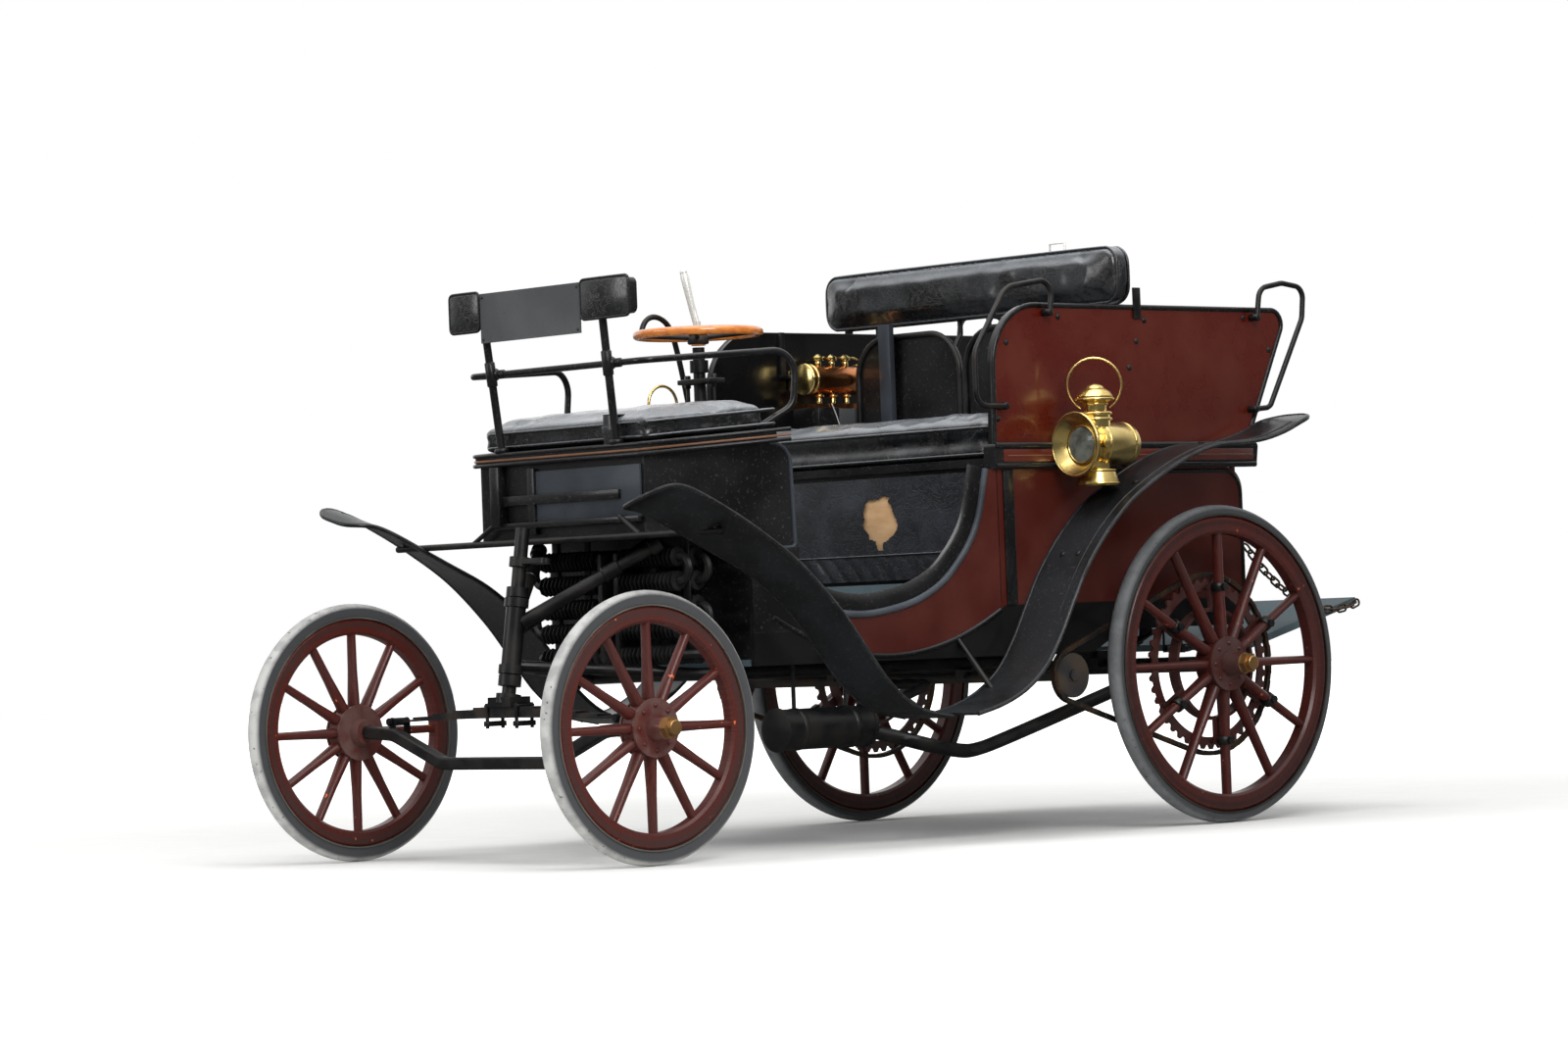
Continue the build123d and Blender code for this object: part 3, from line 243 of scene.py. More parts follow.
class Effects:
    """Shader effects that several finishes share, each built once as a node group."""

    def __init__(self) -> None:
        """Build the groups."""
        self.grime = self._grime()
        self.edges = self._edges()
        self.around = self._around()
        self.hide = self._hide()

    def dirt(self, tree: Tree, vector: Socket, clouds: float, specks: float) -> object:
        """Place the grime in a tree and return its outputs."""
        return tree.group(self.grime, {"Vector": vector, "Clouds": clouds, "Specks": specks}).outputs

    def axle(self, tree: Tree, place: Socket, axle: Flat) -> tuple[Socket, Socket]:
        """Return the distance from an axle and the angle round it."""
        made = tree.group(self.around, {"Vector": place, "Y": axle[0], "Z": axle[1]})
        return made.outputs["Radius"], made.outputs["Angle"]

    def _start(
        self, name: str, inputs: dict[str, object], outputs: tuple[str, ...]
    ) -> tuple[Tree, bpy.types.Node, bpy.types.Node]:
        """Open a group.

        Args:
            name: the group's name.
            inputs: each input's default, where None makes a vector.
            outputs: names of the value outputs.

        Returns:
            The tree, its input node and its output node.
        """
        tree = bpy.data.node_groups.new(name, "ShaderNodeTree")
        for label, default in inputs.items():
            kind = "NodeSocketVector" if default is None else "NodeSocketFloat"
            socket = tree.interface.new_socket(label, in_out="INPUT", socket_type=kind)
            if default is not None:
                socket.default_value = default
        for label in outputs:
            tree.interface.new_socket(label, in_out="OUTPUT", socket_type="NodeSocketFloat")
        return Tree(tree), tree.nodes.new("NodeGroupInput"), tree.nodes.new("NodeGroupOutput")

    def _grime(self) -> bpy.types.NodeTree:
        """Cloudy dirt, fine specks and a height for paint, metal and rubber."""
        tree, source, sink = self._start(
            "grime", {"Vector": None, "Clouds": 3.0, "Specks": 90.0}, ("Cloud", "Speck", "Height")
        )
        vector = source.outputs["Vector"]
        cloud = tree.node("TexNoise", {"Vector": vector, "Scale": source.outputs["Clouds"], "Detail": 6.0})
        speck = tree.node("TexNoise", {"Vector": vector, "Scale": source.outputs["Specks"], "Detail": 3.0})
        tree.set(sink.inputs["Cloud"], tree.ramp(cloud.outputs[0], 0.36, 0.66))
        tree.set(sink.inputs["Speck"], tree.ramp(speck.outputs[0], 0.60, 0.72))
        tree.set(sink.inputs["Height"], tree.maths("MULTIPLY_ADD", cloud.outputs[0], 0.6, speck.outputs[0]))
        return tree.tree

    def _edges(self) -> bpy.types.NodeTree:
        """Mask of the outer edges, broken up so that the wear looks handled."""
        tree, source, sink = self._start("edge_wear", {"Vector": None, "Width": 0.004}, ("Mask",))
        bevel = tree.node("Bevel", {"Radius": source.outputs["Width"]}, samples=4)
        both = {0: bevel.outputs[0], 1: tree.normal()}
        dot = tree.node("VectorMath", both, operation="DOT_PRODUCT").outputs["Value"]
        edge = tree.ramp(dot, 0.995, 0.90)
        broken = tree.ramp(tree.noise(source.outputs["Vector"], 38.0), 0.40, 0.62)
        tree.set(sink.inputs["Mask"], tree.maths("MULTIPLY", edge, broken))
        return tree.tree

    def _around(self) -> bpy.types.NodeTree:
        """Distance from an axle along X, and the angle round it."""
        tree, source, sink = self._start(
            "around_axle", {"Vector": None, "Y": 0.0, "Z": 0.0}, ("Radius", "Angle")
        )
        parts = tree.node("SeparateXYZ", {0: source.outputs["Vector"]})
        across = tree.maths("SUBTRACT", parts.outputs["Y"], source.outputs["Y"])
        up = tree.maths("SUBTRACT", parts.outputs["Z"], source.outputs["Z"])
        flat = tree.node("CombineXYZ", {0: across, 1: up})
        length = tree.node("VectorMath", {0: flat.outputs[0]}, operation="LENGTH").outputs["Value"]
        tree.set(sink.inputs["Radius"], length)
        tree.set(sink.inputs["Angle"], tree.maths("ARCTAN2", up, across))
        return tree.tree

    def _hide(self) -> bpy.types.NodeTree:
        """Leather: pebbled grain, soft creases and rubbed places."""
        tree, source, sink = self._start(
            "hide", {"Vector": None, "Grain": 420.0, "Creases": 16.0}, ("Height", "Rub", "Crease")
        )
        vector = source.outputs["Vector"]
        pebble = tree.node("TexVoronoi", {"Vector": vector, "Scale": source.outputs["Grain"]})
        warp = tree.node("TexNoise", {"Vector": vector, "Scale": 6.0, "Detail": 3.0})
        bent = tree.node("VectorMath", {0: vector, 1: warp.outputs[1]}, operation="ADD").outputs[0]
        folds = tree.node("TexNoise", {"Vector": bent, "Scale": source.outputs["Creases"], "Detail": 5.0})
        valley = tree.maths("ABSOLUTE", tree.maths("SUBTRACT", folds.outputs[0], 0.5))
        crease = tree.ramp(valley, 0.045, 0.0)
        rub = tree.ramp(warp.outputs[0], 0.42, 0.68)
        height = tree.maths("MULTIPLY_ADD", crease, -0.9, tree.maths("MULTIPLY", pebble.outputs[0], 0.12))
        tree.fill(sink, {"Height": height, "Rub": rub, "Crease": crease})
        return tree.tree


# Finishes


@dataclass(frozen=True)
class Finish:
    """What every finish has: a name for its material and its slot in the record."""

    name: str
    slot: str

    def material(self, effects: Effects) -> bpy.types.Material:
        """Build the material."""
        material = bpy.data.materials.new(self.name)
        material.use_nodes = True
        tree = Tree(material.node_tree)
        place = tree.node("TexCoord").outputs["Object"]
        tree.fill(material.node_tree.nodes["Principled BSDF"], self._look(tree, place, effects))
        return material

    def _look(self, tree: Tree, place: Socket, effects: Effects) -> dict[str, object]:
        """Return a value for each input of the shader that the finish sets.

        Args:
            tree: the material's tree.
            place: object coordinates.
            effects: the shared groups.

        Returns:
            Numbers, colours or output sockets by input name.
        """
        raise NotImplementedError


@dataclass(frozen=True)
class Paint(Finish):
    """Old coach paint: dulled in clouds, dusty, and rubbed along its edges."""

    colour: Colour
    faded: Colour
    bare: Colour
    roughness: float = 0.32
    coat: float = 0.35
    wear: float = 0.5
    fade: float = 0.6

    def _masked(self, tree: Tree, place: Socket, base: Socket) -> Socket:
        """Return the faded colour, painted over where a kind of paint asks for it."""
        return base

    def _look(self, tree: Tree, place: Socket, effects: Effects) -> dict[str, object]:
        """Paint, dulled and specked, with bare edges."""
        grime = effects.dirt(tree, tree.mapped(place), 5.0, 150.0)
        edge = tree.group(effects.edges, {"Vector": place, "Width": 0.003}).outputs["Mask"]
        clouds = tree.maths("MULTIPLY", grime["Cloud"], self.fade)
        base = self._masked(tree, place, tree.blend(clouds, self.colour, self.faded))
        specked = tree.blend(tree.maths("MULTIPLY", grime["Speck"], 0.35), base, self.bare)
        return {
            "Base Color": tree.blend(tree.maths("MULTIPLY", edge, self.wear), specked, self.bare),
            "Roughness": tree.maths("MULTIPLY_ADD", grime["Cloud"], 0.22, self.roughness),
            "Specular IOR Level": 0.22,
            "Coat Weight": self.coat,
            "Coat Roughness": 0.16,
            "Normal": tree.bump(grime["Height"], 0.0006, 0.35),
        }


@dataclass(frozen=True)
class SidePaint(Paint):
    """Coach paint on the outer faces of a side; its inner faces are black."""

    def _masked(self, tree: Tree, place: Socket, base: Socket) -> Socket:
        """Black wherever a face doesn't look away from the car."""
        side = tree.maths("SIGN", tree.facing(place, "X"))
        outward = tree.ramp(tree.maths("MULTIPLY", tree.facing(tree.normal(), "X"), side), 0.25, 0.35)
        return tree.blend(outward, SOOT, base)


@dataclass(frozen=True)
class SillPaint(SidePaint):
    """Coach paint of the body sides: maroon, and black below a curved line along the sill."""

    def _masked(self, tree: Tree, place: Socket, base: Socket) -> Socket:
        """Black inside, and below the line."""
        outside = SidePaint._masked(self, tree, place, base)
        run = tree.maths("ADD", tree.facing(place, "Y"), -SILL_Y)
        line = tree.maths("MULTIPLY_ADD", tree.maths("MULTIPLY", run, run), SILL_BEND, SILL_LOW_Z)
        above = tree.maths("SUBTRACT", tree.facing(place, "Z"), tree.maths("MINIMUM", line, SILL_HIGH_Z))
        below = tree.blend(tree.ramp(above, 0.001, -0.001), outside, SOOT)
        return tree.blend(tree.ramp(tree.facing(place, "Y"), -0.500, -0.504), below, SOOT)


@dataclass(frozen=True)
class Metal(Finish):
    """Bare or blackened metal with tarnish in clouds."""

    colour: Colour
    tarnish: Colour
    roughness: float = 0.30
    metallic: float = 1.0
    spread: float = 0.6

    def _look(self, tree: Tree, place: Socket, effects: Effects) -> dict[str, object]:
        """Metal under its tarnish."""
        grime = effects.dirt(tree, place, 14.0, 170.0)
        mask = tree.maths("MULTIPLY", grime["Cloud"], self.spread)
        base = tree.blend(mask, self.colour, self.tarnish)
        return {
            "Base Color": tree.blend(tree.maths("MULTIPLY", grime["Speck"], self.spread), base, self.tarnish),
            "Roughness": tree.maths("MULTIPLY_ADD", mask, 0.30, self.roughness),
            "Metallic": self.metallic,
            "Normal": tree.bump(grime["Height"], 0.0004, 0.30),
        }


@dataclass(frozen=True)
class Leather(Finish):
    """Black hide with pebble grain, soft creases, grey rubbed places and a painted sheen on its upward faces.
    """

    colour: Colour
    rubbed: Colour
    roughness: float = 0.36
    depth: float = 0.0016
    # Share of the painted sheen on upward faces.
    top_sheen: float = 0.35

    def _look(self, tree: Tree, place: Socket, effects: Effects) -> dict[str, object]:
        """Hide, rubbed and creased, with a painted sheen on its upward faces."""
        hide = tree.group(effects.hide, {"Vector": place}).outputs
        rubbed = tree.blend(tree.maths("MULTIPLY", hide["Rub"], 0.7), self.colour, self.rubbed)
        creased = tree.blend(tree.maths("MULTIPLY", hide["Crease"], 0.5), rubbed, self.colour)
        # Painted sheen: faces that look up are blended towards pale blue-grey, standing in for the sky
        # reflecting off the leather.
        sheen_share = tree.maths("MULTIPLY", tree.ramp(tree.facing(tree.normal(), "Z"), 0.25, 0.85), self.top_sheen)
        return {
            "Base Color": tree.blend(sheen_share, creased, srgb(176, 182, 190)),
            "Roughness": tree.maths("MULTIPLY_ADD", hide["Rub"], 0.14, self.roughness),
            "Coat Weight": 0.5,
            "Coat Roughness": 0.14,
            "Normal": tree.bump(hide["Height"], self.depth, 0.55),
        }


@dataclass(frozen=True)
class WheelPaint(Finish):
    """Oxblood wheel paint with brush grain along the spokes, a dark line on the felloe and chips."""

    axle: Flat
    felloe_in: float
    felloe_out: float
    colour: Colour
    faded: Colour
    line: Colour
    chip: Colour
    line_strength: float = 0.8

    def _look(self, tree: Tree, place: Socket, effects: Effects) -> dict[str, object]:
        """Paint round an axle with grain, line and chips."""
        radius, angle = effects.axle(tree, place, self.axle)
        along = {0: tree.maths("MULTIPLY", angle, 30.0), 1: tree.maths("MULTIPLY", radius, 7.0)}
        grain = tree.noise(tree.node("CombineXYZ", along).outputs[0], 3.0, 6.0)
        grime = effects.dirt(tree, place, 7.0, 60.0)
        base = tree.blend(tree.maths("MULTIPLY", tree.ramp(grain, 0.35, 0.68), 0.55), self.colour, self.faded)
        dirty = tree.blend(tree.maths("MULTIPLY", grime["Cloud"], 0.30), base, self.line)
        middle = self.felloe_in + 0.62 * (self.felloe_out - self.felloe_in)
        offset = tree.maths("ABSOLUTE", tree.maths("SUBTRACT", radius, middle))
        line = tree.maths("MULTIPLY", tree.ramp(offset, 0.0075, 0.0055), self.line_strength)
        flake = tree.ramp(tree.noise(place, 46.0, 2.0), 0.735, 0.75)
        return {
            "Base Color": tree.blend(flake, tree.blend(line, dirty, self.line), self.chip),
            "Roughness": tree.maths("MULTIPLY_ADD", grime["Cloud"], 0.2, 0.36),
            "Specular IOR Level": 0.25,
            "Coat Weight": 0.3,
            "Coat Roughness": 0.25,
            "Normal": tree.bump(grain, 0.0012, 0.35),
        }


@dataclass(frozen=True)
class Rubber(Finish):
    """Solid rubber: darker walls, a scuffed pale tread, and small cuts along its shoulder."""

    axle: Flat
    tread_r: float
    wall: Colour
    tread: Colour

    def _look(self, tree: Tree, place: Socket, effects: Effects) -> dict[str, object]:
        """Rubber that pales towards its tread."""
        radius = effects.axle(tree, place, self.axle)[0]
        worn = tree.ramp(radius, self.tread_r - 0.016, self.tread_r - 0.004)
        grime = effects.dirt(tree, place, 24.0, 130.0)
        scuffed = tree.maths("MULTIPLY", worn, tree.maths("MULTIPLY_ADD", grime["Cloud"], -0.35, 1.0))
        base = tree.blend(scuffed, self.wall, self.tread)
        cut = tree.ramp(tree.noise(place, 75.0, 2.0), 0.685, 0.70)
        return {
            "Base Color": tree.blend(tree.maths("MULTIPLY", cut, 0.8), base, self.wall),
            "Roughness": 0.78,
            "Normal": tree.bump(grime["Height"], 0.0016, 0.5),
        }


@dataclass(frozen=True)
class HubPaint(Finish):
    """Hub metal: painted flanges and barrel, brass nut and cap outside, dull steel band."""

    axle: Flat
    nut_x: float
    band_r: float
    paint: Colour
    brass: Colour
    steel: Colour

    def _look(self, tree: Tree, place: Socket, effects: Effects) -> dict[str, object]:
        """Paint near the axle, brass on the nut, steel on the band."""
        radius = effects.axle(tree, place, self.axle)[0]
        grime = effects.dirt(tree, place, 16.0, 110.0)
        outward = tree.maths("ABSOLUTE", tree.facing(place, "X"))
        nut = tree.ramp(outward, self.nut_x - 0.0005, self.nut_x + 0.0005)
        nut = tree.maths("MULTIPLY", nut, tree.ramp(radius, 0.050, 0.045))
        band = tree.ramp(radius, self.band_r, self.band_r + 0.02)
        painted = tree.blend(tree.maths("MULTIPLY", grime["Cloud"], 0.14), self.paint, self.steel)
        return {
            "Base Color": tree.blend(band, tree.blend(nut, painted, self.brass), self.steel),
            "Metallic": tree.maths("MULTIPLY", tree.maths("ADD", nut, band), 0.9),
            "Roughness": tree.maths("MULTIPLY_ADD", grime["Cloud"], 0.25, 0.28),
            "Normal": tree.bump(grime["Height"], 0.0005, 0.4),
        }


@dataclass(frozen=True)
class Timber(Finish):
    """Wood with grain along X, varnished or under thin paint."""

    light: Colour
    dark: Colour
    stretch: Point = (1.5, 40.0, 40.0)
    roughness: float = 0.45
    coat: float = 0.1

    def _look(self, tree: Tree, place: Socket, effects: Effects) -> dict[str, object]:
        """Fine grain over wide bands."""
        grain = tree.noise(tree.mapped(place, self.stretch), 1.6, 8.0)
        wide = tree.noise(tree.mapped(place, self.stretch), 0.35, 3.0)
        mask = tree.maths("MULTIPLY_ADD", tree.ramp(grain, 0.35, 0.7), 0.6, tree.maths("MULTIPLY", wide, 0.5))
        return {
            "Base Color": tree.blend(mask, self.light, self.dark),
            "Roughness": self.roughness,
            "Coat Weight": self.coat,
            "Coat Roughness": 0.12,
            "Normal": tree.bump(grain, 0.0008, 0.3),
        }


@dataclass(frozen=True)
class LampGlass(Finish):
    """Thick old lamp glass, slightly smoky."""

    colour: Colour

    def _look(self, tree: Tree, place: Socket, effects: Effects) -> dict[str, object]:
        """Clear glass with smoke in patches."""
        smoke = tree.ramp(tree.noise(place, 30.0), 0.3, 0.8)
        return {
            "Base Color": tree.blend(smoke, self.colour, srgb(62, 62, 56)),
            "Roughness": 0.06,
            "Transmission Weight": 0.25,
            "IOR": 1.5,
        }


# Colours of the car
SOOT = srgb(9, 9, 10)
DUSTY_BLACK = srgb(24, 25, 28)
WORN_GREY = srgb(92, 90, 86)
OXBLOOD = srgb(72, 25, 20)
OXBLOOD_FADED = srgb(98, 44, 35)
STEEL = srgb(150, 146, 138)
HUB_BRASS = srgb(168, 130, 84)
BRASS_BRIGHT = srgb(240, 214, 140)
BRASS_DULL = srgb(190, 150, 74)


class Palette:
    """All finishes of the car, built once and looked up by name."""

    def __init__(self) -> None:
        """Build every material."""
        effects = Effects()
        self.slots: dict[str, str] = {}
        self.materials: dict[str, bpy.types.Material] = {}
        for finish in self._finishes():
            self.materials[finish.name] = finish.material(effects)
            self.slots[finish.name] = finish.slot

    def _finishes(self) -> tuple[Finish, ...]:
        """List the finishes, body first."""
        return (
            Paint("coach_black", "black_paint", SOOT, DUSTY_BLACK, WORN_GREY, wear=0.30),
            Paint(
                "wing_black", "black_paint", srgb(12, 13, 15), srgb(34, 37, 41), srgb(96, 92, 82),
                roughness=0.36, coat=0.3, wear=0.5,
            ),
            SidePaint(
                "coach_maroon", "maroon_paint", srgb(76, 18, 9), srgb(90, 36, 19), srgb(30, 16, 12),
                roughness=0.20, coat=0.8, wear=0.3, fade=0.5,
            ),
            SillPaint(
                "quarter_maroon", "maroon_paint", srgb(66, 19, 12), srgb(82, 31, 20), srgb(28, 17, 13),
                roughness=0.34, coat=0.3, wear=0.5,
            ),
            Paint(
                "line_copper", "copper", srgb(122, 84, 60), srgb(96, 66, 48), SOOT, roughness=0.35,
                coat=0.3, wear=0.4,
            ),
            Paint(
                "floor_grey", "floor_wood", srgb(62, 76, 82), srgb(84, 100, 106), srgb(48, 52, 54),
                roughness=0.6, coat=0.0, wear=0.4,
            ),
            Paint(
                "plate_grey", "plate_paint", srgb(66, 68, 70), srgb(84, 86, 88), srgb(50, 50, 50),
                roughness=0.55, coat=0.0, wear=0.4,
            ),
            Metal(
                "blackened_iron", "iron", srgb(16, 16, 18), srgb(42, 39, 36), roughness=0.34,
                metallic=0.35, spread=0.6,
            ),
            Metal(
                "spring_steel", "spring_steel", srgb(34, 35, 38), srgb(66, 57, 49), roughness=0.40,
                metallic=0.6, spread=0.7,
            ),
            Metal(
                "radiator_black", "radiator_metal", srgb(15, 15, 17), srgb(40, 38, 36), roughness=0.45,
                metallic=0.3, spread=0.7,
            ),
            Metal("lamp_brass", "brass", BRASS_BRIGHT, BRASS_DULL, roughness=0.15, metallic=1.0, spread=0.40),
            Metal(
                "tube_copper", "copper", srgb(214, 142, 92), srgb(170, 104, 60), roughness=0.20,
                metallic=1.0, spread=0.25,
            ),
            Metal(
                "lever_white", "lever_metal", srgb(222, 221, 216), srgb(176, 174, 168), roughness=0.25,
                metallic=0.3, spread=0.15,
            ),
            Metal(
                "engine_iron", "engine_iron", srgb(52, 52, 54), srgb(78, 66, 54), roughness=0.55,
                metallic=0.5, spread=0.8,
            ),
            Metal(
                "chain_steel", "chain_steel", srgb(52, 50, 48), srgb(88, 66, 48), roughness=0.42,
                metallic=0.8, spread=0.8,
            ),
            Leather(
                "seat_leather", "black_leather", srgb(13, 14, 16), srgb(30, 33, 38), roughness=0.26,
                depth=0.0014,
            ),
            Leather(
                "apron_leather", "black_leather", srgb(30, 32, 38), srgb(60, 64, 73), roughness=0.46,
                depth=0.0022,
            ),
            Timber(
                "rim_varnish", "rim_wood", srgb(228, 142, 58), srgb(186, 96, 34),
                stretch=(22.0, 22.0, 60.0), roughness=0.20, coat=0.8,
            ),
            Paint(
                "worn_strip", "black_paint", srgb(48, 52, 58), srgb(82, 88, 95), SOOT, roughness=0.4,
                coat=0.1, wear=0.5,
            ),
            Paint(
                "strut_grey", "black_paint", srgb(40, 44, 50), srgb(62, 68, 75), SOOT, roughness=0.5,
                coat=0.1, wear=0.4,
            ),
            Timber(
                "tan_lining", "floor_wood", srgb(240, 202, 156), srgb(206, 158, 108),
                stretch=(6.0, 20.0, 20.0), roughness=0.8, coat=0.0,
            ),
            LampGlass("lamp_glass", "brass", srgb(120, 124, 118)),
            WheelPaint(
                "front_wheel_paint", "wheel_wood", FRONT_AXLE, felloe_in=0.271, felloe_out=0.315,
                colour=OXBLOOD, faded=OXBLOOD_FADED, line=srgb(60, 40, 38), chip=srgb(204, 96, 50),
            ),
            # Painted shade: a darker copy of the front wheel paint, with darker chips and line, for the rear
            # wheels that sit in shade under the body.
            WheelPaint(
                "rear_wheel_paint", "wheel_wood", REAR_AXLE, felloe_in=0.370, felloe_out=0.420,
                colour=srgb(62, 22, 18), faded=srgb(84, 36, 29), line=srgb(30, 18, 18),
                chip=srgb(150, 68, 40), line_strength=0.5,
            ),
            Rubber(
                "front_rubber", "tyre_rubber", FRONT_AXLE, tread_r=0.356, wall=srgb(62, 63, 65),
                tread=srgb(186, 186, 184),
            ),
            # Painted shade: a darker copy of the front tyre rubber for the shaded rear tyres.
            Rubber(
                "rear_rubber", "tyre_rubber", REAR_AXLE, tread_r=0.451, wall=srgb(52, 54, 56),
                tread=srgb(112, 114, 116),
            ),
            HubPaint(
                "front_hub_paint", "wheel_metal", FRONT_AXLE, nut_x=FRONT_HALF_TRACK + 0.074,
                band_r=0.30, paint=srgb(80, 34, 29), brass=HUB_BRASS, steel=STEEL,
            ),
            # Painted shade: a darker copy of the front hub finish, with duller steel, for the shaded rear hubs.
            HubPaint(
                "rear_hub_paint", "wheel_metal", REAR_AXLE, nut_x=REAR_HALF_TRACK + 0.091, band_r=0.40,
                paint=srgb(62, 28, 25), brass=HUB_BRASS, steel=srgb(96, 90, 84),
            ),
        )

    def __getitem__(self, name: str) -> bpy.types.Material:
        """Look up a material."""
        return self.materials[name]


# Modelling


def select_only(piece: Piece) -> None:
    """Make the piece the only selected and active object."""
    bpy.ops.object.select_all(action="DESELECT")
    piece.select_set(True)
    bpy.context.view_layer.objects.active = piece


@contextmanager
def editing(piece: Piece, kind: str = "FACE", everything: bool = True) -> Iterator[None]:
    """Open the piece in edit mode.

    Args:
        piece: the mesh object.
        kind: VERT, EDGE or FACE.
        everything: select all first; otherwise what code has chosen stays selected.
    """
    select_only(piece)
    bpy.ops.object.mode_set(mode="EDIT")
    bpy.ops.mesh.select_mode(type=kind)
    if everything:
        bpy.ops.mesh.select_all(action="SELECT")
    yield
    bpy.ops.object.mode_set(mode="OBJECT")


def choose(piece: Piece, kind: str, test: Callable) -> None:
    """Select the vertices, edges or faces that pass a test, and nothing else."""
    mesh = piece.data
    for group in (mesh.vertices, mesh.edges, mesh.polygons):
        group.foreach_set("select", [False] * len(group))
    items = {"VERT": mesh.vertices, "EDGE": mesh.edges, "FACE": mesh.polygons}[kind]
    for item in items:
        item.select = test(item)


def apply_modifier(piece: Piece, kind: str, **settings: object) -> None:
    """Add a modifier and apply it."""
    select_only(piece)
    modifier = piece.modifiers.new(kind.lower(), kind)
    for key, value in settings.items():
        setattr(modifier, key, value)
    bpy.ops.object.modifier_apply(modifier=modifier.name)


def turned(name: str, profile: Route, base: Point, axis: Point, sides: int = 32) -> Piece:
    """Turn a solid from a disc that is extruded and resized along its profile.

    Args:
        name: the piece's name.
        profile: radius and height of each step, from the base.
        base: where the axis starts.
        axis: direction of the axis.
        sides: sides of the disc.

    Returns:
        The new object.
    """
    bpy.ops.object.select_all(action="DESELECT")
    radius, height = profile[0]
    foot = (0, 0, height)
    bpy.ops.mesh.primitive_circle_add(vertices=sides, radius=radius, fill_type="NGON", location=foot)
    piece = bpy.context.object
    piece.name = name
    with editing(piece):
        for next_radius, next_height in profile[1:]:
            bpy.ops.mesh.extrude_region_move(TRANSFORM_OT_translate={"value": (0, 0, next_height - height)})
            share = next_radius / radius
            bpy.ops.transform.resize(value=(share, share, 1), center_override=(0, 0, next_height))
            radius, height = next_radius, next_height
    turn = Vector((0, 0, 1)).rotation_difference(Vector(axis)).to_matrix().to_4x4()
    piece.matrix_world = Matrix.Translation(base) @ turn @ piece.matrix_world
    return piece


def block(name: str, low: Point, high: Point, bevel: float = 0.0, steps: int = 2) -> Piece:
    """A box between two corners with its edges rounded."""
    bpy.ops.object.select_all(action="DESELECT")
    centre = [(a + b) / 2 for a, b in zip(low, high)]
    size = [abs(b - a) for a, b in zip(low, high)]
    bpy.ops.mesh.primitive_cube_add(size=1, location=centre, scale=size)
    piece = bpy.context.object
    piece.name = name
    bpy.ops.object.transform_apply(location=False, rotation=False, scale=True)
    if bevel:
        with editing(piece, "EDGE"):
            bpy.ops.mesh.bevel(offset=bevel, segments=steps)
    return piece


def plate(name: str, outline: Sequence[Point], thickness: Point, bevel: float = 0.0) -> Piece:
    """A flat plate of any outline.

    Args:
        name: the piece's name.
        outline: its corners in order.
        thickness: the vector that it is extruded along.
        bevel: rounding of its edges.

    Returns:
        The new object.
    """
    bpy.ops.object.select_all(action="DESELECT")
    bpy.ops.mesh.primitive_circle_add(vertices=len(outline), radius=1, fill_type="NGON")
    piece = bpy.context.object
    piece.name = name
    for vertex, corner in zip(piece.data.vertices, outline):
        vertex.co = corner
    with editing(piece):
        bpy.ops.mesh.extrude_region_move(TRANSFORM_OT_translate={"value": thickness})
    if bevel:
        with editing(piece, "EDGE"):
            bpy.ops.mesh.bevel(offset=bevel, segments=2)
    return piece


def bar(
    name: str, points: Sequence[Point], radius: float, closed: bool = False, smooth: bool = False
) -> Piece:
    """A bar or bead along points, as a mesh.

    Args:
        name: the piece's name.
        points: its route.
        radius: half its thickness.
        closed: join its ends.
        smooth: round its corners.

    Returns:
        The new object.
    """
    curve = bpy.data.curves.new(name, "CURVE")
    curve.dimensions = "3D"
    spline = curve.splines.new("NURBS" if smooth else "POLY")
    spline.points.add(len(points) - 1)
    for control, place in zip(spline.points, points):
        control.co = (*place, 1.0)
    if smooth:
        spline.order_u = 3
        spline.use_endpoint_u = not closed
        spline.resolution_u = 6
    spline.use_cyclic_u = closed
    curve.bevel_depth = radius
    curve.bevel_resolution = 2
    curve.use_fill_caps = True
    piece = bpy.data.objects.new(name, curve)
    bpy.context.scene.collection.objects.link(piece)
    select_only(piece)
    bpy.ops.object.convert(target="MESH")
    return bpy.context.object


def ball(name: str, centre: Point, radius: float, sides: int = 20) -> Piece:
    """A ball turned from a small disc."""
    steps = [math.radians(angle) for angle in range(-80, 81, 16)]
    profile = [(radius * math.cos(angle), radius * math.sin(angle)) for angle in steps]
    return turned(name, profile, centre, (0, 0, 1), sides)


def sleeve(name: str, start: Point, end: Point, radius: float, sides: int = 20) -> Piece:
    """A round collar between two points with its rims chamfered."""
    line = Vector(end) - Vector(start)
    long = line.length
    edge = min(0.003, radius * 0.2, long * 0.25)
    profile = [(radius - edge, 0.0), (radius, edge), (radius, long - edge), (radius - edge, long)]
    return turned(name, profile, start, tuple(line), sides)


def ring(
    name: str, centre: Point, radius: float, wire: float, axis: Point = (0, 1, 0), arc: Flat = (0, 360)
) -> Piece:
    """A ring or part of one.

    Args:
        name: the piece's name.
        centre: its centre.
        radius: radius of its centre line.
        wire: half the wire's thickness.
        axis: direction that the ring faces.
        arc: start and end of the arc in degrees.

    Returns:
        The new object.
    """
    turn = Vector((0, 1, 0)).rotation_difference(Vector(axis))
    span = arc[1] - arc[0]
    whole = span >= 360
    count = 32 if whole else 24
    points = []
    for step in range(count if whole else count + 1):
        angle = math.radians(arc[0] + span * step / count)
        spot = Vector((radius * math.cos(angle), 0, radius * math.sin(angle)))
        points.append(tuple(Vector(centre) + turn @ spot))
    return bar(name, points, wire, closed=whole)


